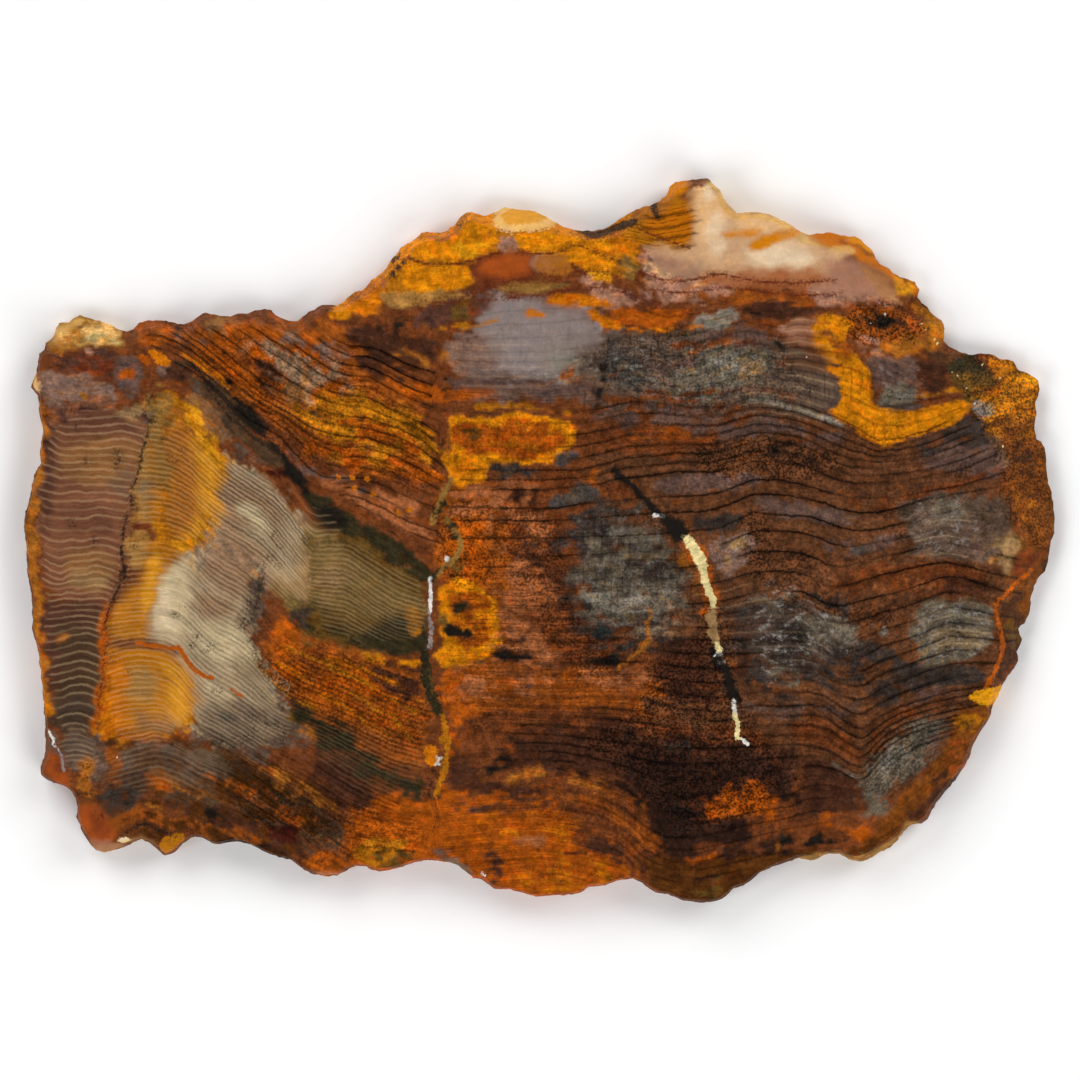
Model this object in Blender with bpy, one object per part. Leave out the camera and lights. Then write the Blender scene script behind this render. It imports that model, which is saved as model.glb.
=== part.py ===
"""Petrified wood slab: one sawn and polished slice of a silicified log.

The slice lies flat on its sawn back, which is the plane Z = 0. The polished face looks up,
+X runs along the slice's length, and the origin is under the middle of its box.

The outside of the log is broken and weathered, so the solid is a loft between unlike
outlines: the polished face, the rough rind that slopes away from it, the widest line,
and the sawn back. The grain of the wood runs up through the slice, so the scallops of
the outline carry on down its sides.
"""

import bmesh
import bpy
from mathutils import Vector, noise

# Driving dimensions, in metres.
SLAB_LENGTH = 0.145
SLAB_THICKNESS = 0.0064

# The outline is drawn over a photograph taken from straight above, so its corners are in
# that photograph's pixels, with y down. The slab is this many of them long.
PHOTO_LENGTH_PX = 1035.0
METRES_PER_PX = SLAB_LENGTH / PHOTO_LENGTH_PX

# Each corner: x and y of the widest line, and how far in from it the polished face starts,
# which is the width of the rough rind as seen from above. They go round clockwise.
LEFT_SHOULDER_PX = [
    (29, 387, 6), (31, 380, 5), (35, 372, 4), (36, 361, 4), (38, 353, 5), (43, 349, 7),
    (44, 342, 8), (53, 334, 13), (55, 327, 18), (58, 322, 22), (68, 321, 24),
    (74, 316, 27), (79, 314, 29), (86, 316, 27), (95, 319, 26), (109, 323, 24), (119, 328, 22),
    (126, 330, 20), (132, 328, 18), (138, 322, 16), (144, 319, 14), (160, 319, 14),
    (171, 321, 13), (183, 323, 12), (191, 320, 12), (199, 314, 12), (205, 311, 12),
    (211, 313, 11), (222, 315, 10), (230, 315, 10), (238, 312, 10), (247, 313, 10),
    (254, 309, 12), (264, 307, 14), (271, 309, 13), (276, 314, 12), (285, 318, 12),
    (297, 319, 12), (303, 315, 10), (308, 311, 9), (314, 309, 9), (321, 303, 9),
]
TOP_RIDGE_PX = [
    (337, 304, 8), (346, 298, 9), (354, 291, 10), (361, 289, 10), (371, 279, 9), (378, 274, 9),
    (388, 263, 11), (394, 254, 13), (400, 247, 12), (413, 238, 9), (421, 231, 9),
    (440, 231, 8), (453, 224, 8), (461, 214, 9), (472, 211, 9), (486, 214, 12),
    (496, 210, 17), (502, 206, 20), (520, 208, 22), (538, 211, 18), (554, 220, 12),
    (570, 227, 8), (588, 229, 10), (602, 228, 11), (613, 223, 12), (624, 215, 13),
    (634, 209, 13), (646, 205, 12), (660, 200, 12), (666, 194, 10), (669, 185, 8),
    (676, 181, 7), (702, 177, 6), (709, 176, 6), (713, 181, 6), (721, 188, 6), (725, 197, 7),
    (731, 206, 8), (738, 211, 8), (753, 210, 7), (770, 213, 7), (782, 218, 7), (794, 225, 8),
]
RIGHT_SHOULDER_PX = [
    (806, 232, 10), (818, 232, 13), (830, 231, 15), (842, 234, 15), (856, 235, 16),
    (865, 241, 17), (875, 251, 18), (881, 263, 19), (890, 267, 22), (901, 276, 26),
    (917, 280, 30), (921, 289, 33), (919, 297, 33), (929, 306, 30), (935, 314, 28),
    (943, 319, 26), (947, 328, 24), (945, 340, 20), (958, 349, 20), (970, 353, 28),
    (988, 352, 38), (1004, 358, 46), (1015, 360, 50), (1019, 368, 52), (1031, 373, 54),
    (1040, 380, 55), (1042, 389, 55), (1038, 402, 52), (1039, 414, 49), (1036, 428, 45),
    (1039, 438, 43), (1047, 446, 42), (1049, 476, 38), (1054, 495, 36), (1057, 515, 37),
    (1057, 530, 36), (1053, 541, 33), (1051, 560, 30), (1047, 571, 28), (1040, 580, 28),
    (1034, 594, 28), (1032, 612, 30), (1026, 624, 26), (1020, 629, 20), (1024, 640, 20),
    (1019, 652, 17), (1020, 661, 18), (1014, 672, 16), (1004, 686, 10),
]
LOWER_RIGHT_PX = [
    (999, 699, 6), (993, 710, 5), (992, 718, 4), (983, 731, 4), (975, 745, 5), (971, 759, 5),
    (957, 781, 5), (943, 798, 5), (934, 811, 5), (929, 820, 5), (923, 825, 5), (913, 826, 5),
    (903, 836, 6), (896, 845, 8), (880, 855, 9), (868, 862, 8), (853, 862, 6), (840, 855, 4),
    (830, 855, 4), (820, 860, 5), (811, 862, 6), (800, 860, 4), (770, 870, 3), (757, 877, 3),
    (747, 886, 3), (735, 890, 3), (723, 900, 3), (704, 904, 3), (680, 901, 3), (668, 896, 3),
    (656, 894, 3), (642, 884, 3), (633, 880, 3), (615, 883, 3), (606, 887, 3), (590, 888, 3),
    (579, 895, 3), (548, 898, 3), (532, 897, 3),
]
LOWER_LEFT_PX = [
    (510, 891, 3), (494, 890, 4), (481, 881, 5), (473, 880, 5), (462, 870, 5), (450, 864, 4),
    (424, 862, 3), (406, 867, 3), (379, 873, 3), (366, 868, 3), (356, 867, 3), (337, 877, 4),
    (329, 878, 5), (314, 876, 4), (300, 869, 3), (292, 862, 3), (272, 857, 3), (258, 850, 3),
    (243, 844, 3), (231, 843, 3), (215, 846, 3), (202, 839, 3), (194, 838, 3), (183, 845, 4),
    (175, 853, 5), (164, 857, 6), (153, 848, 4), (141, 841, 4), (124, 848, 6), (104, 854, 8),
    (94, 852, 7), (86, 841, 5), (78, 826, 4), (75, 818, 4), (76, 807, 3), (74, 799, 3),
    (65, 788, 3), (47, 782, 4), (39, 776, 5), (40, 764, 6), (44, 751, 5), (43, 728, 4),
    (42, 706, 3), (40, 685, 3), (36, 648, 3), (31, 631, 3), (30, 600, 3), (25, 570, 3),
    (25, 550, 3), (22, 520, 3), (27, 502, 3), (34, 470, 3), (39, 463, 3), (38, 452, 3),
    (41, 430, 3), (37, 408, 3), (36, 395, 4),
]
OUTLINE_PX = LEFT_SHOULDER_PX + TOP_RIDGE_PX + RIGHT_SHOULDER_PX + LOWER_RIGHT_PX + LOWER_LEFT_PX

# The rind's profile, from the polished face out to the widest line: the share of the rind's
# width that is left, and the share of the slab's thickness.
RIND_PROFILE = [(1.00, 1.00), (0.80, 0.96), (0.56, 0.88), (0.32, 0.75), (0.12, 0.60), (0.0, 0.44)]

# The side's profile, from the widest line in to the sawn back: the share of the undercut,
# and the share of the slab's thickness.
SIDE_PROFILE = [(0.18, 0.28), (0.50, 0.13), (1.00, 0.00)]
UNDERCUT = 0.0004
UNDERCUT_PER_RIND = 0.10

# Corners further apart than this get points between them, on a smooth curve.
OUTLINE_STEP = 0.0010
# The rind slopes across a chord of the outline, so that it doesn't fold in the bays.
CHORD_STEPS = 2
CHORD_STEPS_PER_METRE = 900.0

# The rind is a crust of rounded lumps with creases between them, and small pits: how deep
# the creases cut, and how large the lumps and the pits are.
RELIEF = 0.00016
RELIEF_PER_RIND = 0.16
LUMP_SIZE = 0.0034
PIT_SIZE = 0.0016
PIT_THRESHOLD = 0.20
PIT_SHARE = 0.9
NOISE_SEED = Vector((3.1, 7.4, 1.9))

STONE_COLOUR = (0.30, 0.12, 0.045, 1.0)
STONE_ROUGHNESS = 0.25


def clear_scene():
    """Remove every object that is already in the file."""
    for old in list(bpy.data.objects):
        bpy.data.objects.remove(old, do_unlink=True)


def make_stone_material():
    """Rust-brown polished stone."""
    material = bpy.data.materials.new("petrified_wood")
    material.use_nodes = True
    shader = material.node_tree.nodes["Principled BSDF"]
    shader.inputs["Base Color"].default_value = STONE_COLOUR
    shader.inputs["Roughness"].default_value = STONE_ROUGHNESS
    shader.inputs["Metallic"].default_value = 0.0
    return material


def catmull_rom(before, start, end, after, t):
    """A point of the smooth curve from start to end, where t runs from 0 to 1."""
    steady = 2.0 * start
    slope = (end - before) * t
    bend = (2.0 * before - 5.0 * start + 4.0 * end - after) * t * t
    twist = (3.0 * start - before - 3.0 * end + after) * t * t * t
    return 0.5 * (steady + slope + bend + twist)


def outline_points():
    """Points round the widest line: x and y in metres, and the rind's width there as z."""
    corners = [Vector((x, -y, width)) * METRES_PER_PX for x, y, width in OUTLINE_PX]
    points = []
    count = len(corners)
    for index, start in enumerate(corners):
        before = corners[index - 1]
        end = corners[(index + 1) % count]
        after = corners[(index + 2) % count]
        pieces = max(1, round((end - start).length / OUTLINE_STEP))
        for piece in range(pieces):
            points.append(catmull_rom(before, start, end, after, piece / pieces))
    return centred(points)


def centred(points):
    """The same points, moved so that the middle of their box is at the origin."""
    middle_x = (min(p.x for p in points) + max(p.x for p in points)) / 2.0
    middle_y = (min(p.y for p in points) + max(p.y for p in points)) / 2.0
    return [Vector((p.x - middle_x, p.y - middle_y, p.z)) for p in points]


def inward_directions(points):
    """The way into the slab at each point, square to a chord of the outline."""
    directions = []
    count = len(points)
    for index, point in enumerate(points):
        reach = CHORD_STEPS + round(point.z * CHORD_STEPS_PER_METRE)
        chord = points[(index + reach) % count] - points[index - reach]
        directions.append(Vector((chord.y, -chord.x, 0.0)).normalized())
    return directions


def relief_at(point, height, rind):
    """How far the weathered surface lies inside its smooth profile."""
    place = Vector((point.x, point.y, height))
    lump_distances, _ = noise.voronoi(place / LUMP_SIZE + NOISE_SEED)
    crease = min(1.0, lump_distances[0])
    pit = max(0.0, noise.noise(place / PIT_SIZE - NOISE_SEED) - PIT_THRESHOLD)
    depth = RELIEF + RELIEF_PER_RIND * rind
    return depth * (crease + PIT_SHARE * pit)


def rind_row(points, inward, width_share, height_share):
    """One line round the rind, between the polished face and the widest line."""
    row = []
    height = SLAB_THICKNESS * height_share
    at_widest_line = width_share == 0.0
    at_face = height_share == 1.0
    for point, direction in zip(points, inward):
        relief = 0.0 if at_widest_line else relief_at(point, height, point.z)
        place = Vector((point.x, point.y, height)) + direction * (width_share * point.z + relief)
        if not at_face:
            place.z -= 0.5 * relief
        row.append(place)
    return row


def side_row(points, inward, undercut_share, height_share):
    """One line round the side, between the widest line and the sawn back."""
    row = []
    height = SLAB_THICKNESS * height_share
    for point, direction in zip(points, inward):
        undercut = UNDERCUT + UNDERCUT_PER_RIND * point.z
        relief = relief_at(point, height, 0.5 * point.z)
        step_in = undercut_share * undercut + relief
        row.append(Vector((point.x, point.y, height)) + direction * step_in)
    return row


def lofted_rows(bm, rows):
    """Join the rows with belts of faces, and return the first and last rows' vertices."""
    rings = [[bm.verts.new(place) for place in row] for row in rows]
    for upper, lower in zip(rings, rings[1:]):
        for index in range(len(upper)):
            after = (index + 1) % len(upper)
            bm.faces.new((upper[index], lower[index], lower[after], upper[after]))
    return rings[0], rings[-1]


def make_slab(collection):
    """The slab: loft the rind and the side, then close the polished face and the back."""
    points = outline_points()
    inward = inward_directions(points)
    rows = [rind_row(points, inward, width, height) for width, height in RIND_PROFILE]
    rows += [side_row(points, inward, undercut, height) for undercut, height in SIDE_PROFILE]
    bm = bmesh.new()
    face_edge, back_edge = lofted_rows(bm, rows)
    bm.faces.new(face_edge)
    bm.faces.new(back_edge)
    bmesh.ops.triangulate(bm, faces=bm.faces[:])
    bmesh.ops.recalc_face_normals(bm, faces=bm.faces[:])
    mesh = bpy.data.meshes.new("slab")
    bm.to_mesh(mesh)
    bm.free()
    slab = bpy.data.objects.new("slab", mesh)
    slab.data.materials.append(make_stone_material())
    collection.objects.link(slab)
    return slab


def main():
    clear_scene()
    collection = bpy.data.collections.new("petrified_wood_slab")
    bpy.context.scene.collection.children.link(collection)
    make_slab(collection)


main()
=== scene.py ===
"""Petrified wood slab: the looks of a polished slice of a silicified log.

It is laid out as a Blender add-on and run as a script. The slab is one closed mesh, made from the
CAD solid: a fine polished face, a rough rind and a sawn back. Its growth rings and minerals are
drawn as shapes in the photograph's pixels, painted on the mesh's points and given their
fine detail by the material's nodes.
"""

import math
from collections import namedtuple

import bmesh
import bpy
import numpy as np
from bpy.props import FloatProperty, FloatVectorProperty, IntProperty, PointerProperty
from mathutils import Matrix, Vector, geometry, kdtree, noise


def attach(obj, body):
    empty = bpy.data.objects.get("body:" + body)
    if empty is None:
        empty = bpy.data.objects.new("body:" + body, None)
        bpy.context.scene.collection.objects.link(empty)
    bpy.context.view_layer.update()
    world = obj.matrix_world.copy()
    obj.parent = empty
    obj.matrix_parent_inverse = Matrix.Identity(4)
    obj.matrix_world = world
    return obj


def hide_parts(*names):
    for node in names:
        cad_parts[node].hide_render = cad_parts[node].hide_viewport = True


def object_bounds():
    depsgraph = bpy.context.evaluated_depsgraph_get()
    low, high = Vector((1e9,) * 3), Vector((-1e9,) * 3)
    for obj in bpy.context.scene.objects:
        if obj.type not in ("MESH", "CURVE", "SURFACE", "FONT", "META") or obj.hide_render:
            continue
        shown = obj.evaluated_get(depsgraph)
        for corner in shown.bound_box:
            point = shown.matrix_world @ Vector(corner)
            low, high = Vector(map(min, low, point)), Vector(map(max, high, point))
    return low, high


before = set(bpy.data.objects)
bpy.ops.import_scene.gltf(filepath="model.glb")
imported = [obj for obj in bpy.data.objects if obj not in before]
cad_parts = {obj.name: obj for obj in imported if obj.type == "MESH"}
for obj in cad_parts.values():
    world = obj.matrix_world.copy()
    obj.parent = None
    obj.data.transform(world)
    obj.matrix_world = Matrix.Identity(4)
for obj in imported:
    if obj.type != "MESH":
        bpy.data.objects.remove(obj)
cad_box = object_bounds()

bl_info = {
    "name": "Petrified Wood Slab",
    "version": (1, 0, 0),
    "blender": (4, 5, 0),
    "location": "View3D > Sidebar > Petrified Slab",
    "description": "Makes a polished slab of petrified wood with rings, minerals and a rough rind",
    "category": "Add Mesh",
}

NODE = "slab"
PIECE = "petrified_slab"

# The photograph's scale: the slab is 1035 of its pixels long, and its middle is at this pixel
SLAB_LENGTH = 0.145
SLAB_LENGTH_PX = 1035
METRES_PER_PX = SLAB_LENGTH / SLAB_LENGTH_PX
SLAB_MIDDLE_PX = (539.5, 540.0)
PHOTO_SIDE_PX = 1080
PHOTO_MIDDLE_PX = (540.0, 540.0)

THICKNESS = cad_box[1].z - cad_box[0].z
# Points this close to a plane lie on it
ON_PLANE = 1e-5
# The numbers of the slab's three finishes
FACE, RIND, BACK = 0, 1, 2

# The back is the same wood a few millimetres deeper, so its pattern has shifted a little
SHIFT_DOWN_PX = (7.0, -5.0)

# The minerals' colours, as they look in even light, and what each one is
PALETTE = {
    "rust": ("68371a", "iron-stained wood of the middle"),
    "umber": ("5e3922", "greyer brown wood of the right"),
    "burnt": ("9e4b0b", "burnt orange wood of the edges"),
    "salmon": ("9c5b34", "pinkish orange wood between dark rings"),
    "rim_brown": ("6c3b12", "translucent brown rim"),
    "bright_rust": ("8a4614", "warmer iron-stained wood"),
    "dark_rust": ("452719", "iron-stained wood with much manganese"),
    "chocolate": ("301c14", "dark brown wood at the bottom right"),
    "near_black": ("1e1813", "manganese-black wood"),
    "mauve_rust": ("5f463c", "greyish red-brown between the dark rings"),
    "orange": ("b86508", "orange iron mineral"),
    "deep_orange": ("a24d0c", "reddish orange iron mineral"),
    "ochre": ("c87808", "yellow-orange iron mineral"),
    "yellow": ("d08c10", "the yellowest iron mineral"),
    "gold": ("a8660e", "golden wood beside the fold"),
    "amber": ("9c5c1c", "amber edge of the slab"),
    "dark_amber": ("4e2a0c", "dark amber along the bottom"),
    "cream": ("a28c6e", "cream wood"),
    "pale_cream": ("bba782", "pale cream wood"),
    "rose_tan": ("8d6d52", "pinkish tan wood between cream lines"),
    "stone_grey": ("806c52", "greyish wood"),
    "dusk_grey": ("5a473a", "dark brownish grey wood"),
    "deep_brown": ("4b3524", "dark brown wood"),
    "tan_gold": ("976b34", "tan wood stained gold"),
    "olive_gold": ("86602c", "olive wood stained gold"),
    "bright_gold": ("c98516", "brightly stained golden wood"),
    "tan": ("93724a", "tan wood"),
    "tan_brown": ("825732", "yellowish brown wood"),
    "mauve_brown": ("764a33", "brown of the left column"),
    "dusk_brown": ("523226", "purplish brown near the left edge"),
    "mauve": ("775a4c", "mauve agate of the top left"),
    "lilac": ("857671", "lilac grey agate"),
    "slate": ("4a423c", "slate grey agate"),
    "cloud": ("625748", "grey cloudy agate"),
    "pale_cloud": ("7d7466", "paler cloudy agate"),
    "olive": ("5a4019", "olive brown wood"),
    "dark_olive": ("2f2817", "blackish olive wood"),
    "wedge": ("70572f", "olive tan wood of the wedge"),
    "charcoal": ("3b302a", "charcoal brown wood"),
    "peach": ("d9ab78", "peach chalcedony"),
    "chalcedony": ("c49a72", "translucent tan chalcedony"),
    "milk": ("dcc2a0", "milky chalcedony"),
    "honey": ("cf9038", "honey-coloured chalcedony"),
    "rose": ("a07058", "pinkish brown chalcedony"),
    "red_brown": ("6a3018", "red-brown jasper"),
    "jasper": ("9c4818", "brick red jasper"),
    "maroon": ("3a150d", "maroon jasper"),
    "teal": ("283434", "blue-black agate"),
    # White quartz of the veins; the same white is also painted as glints, painted highlights on the rind
    "quartz": ("d0cac2", "white quartz"),
    "vein_cream": ("dcc98e", "cream vein filling"),
    "black": ("1a1613", "manganese black of cracks and specks"),
    "red": ("562010", "dark red lines of the top"),
}

# One drawn shape, with its soft edge's width, its points and a band's or spots' width in pixels
Mark = namedtuple("Mark", "form paint edge points cover width")


def read_points(text):
    """The places in a line of text such as "10,20 30,20"."""
    return [tuple(float(number) for number in place.split(",")) for place in text.split()]


def drawn_lines(text):
    """The words before the colon and the points after it, for each line of a drawing.

    Headings start with a hash sign, and a line that starts with a space goes on with the line above.
    """
    for line in text.replace("\n ", " ").splitlines():
        if line and not line.startswith("#"):
            head, points = line.split(":")
            yield head.split(), read_points(points)


def read_marks(text):
    """The marks of a drawing, in their order.

    Before the colon stand the form, which is "band" or "spots" and left out for an area drawn by its
    corners, then the paint or the strength, a band's or spots' width, the soft edge's width, and the
    cover if it isn't full.
    """
    marks = []
    for words, points in drawn_lines(text):
        form = words.pop(0) if words[0] in ("band", "spots") else "area"
        paint = words.pop(0)
        width = 0.0 if form == "area" else float(words.pop(0))
        edge = float(words.pop(0))
        cover = float(words.pop(0)) if words else 1.0
        marks.append(Mark(form, paint, edge, points, cover, width))
    return marks


def read_rings(text):
    """The guide lines of a drawing, each as its ring number and its points."""
    return [(float(words[0]), points) for words, points in drawn_lines(text)]


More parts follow.
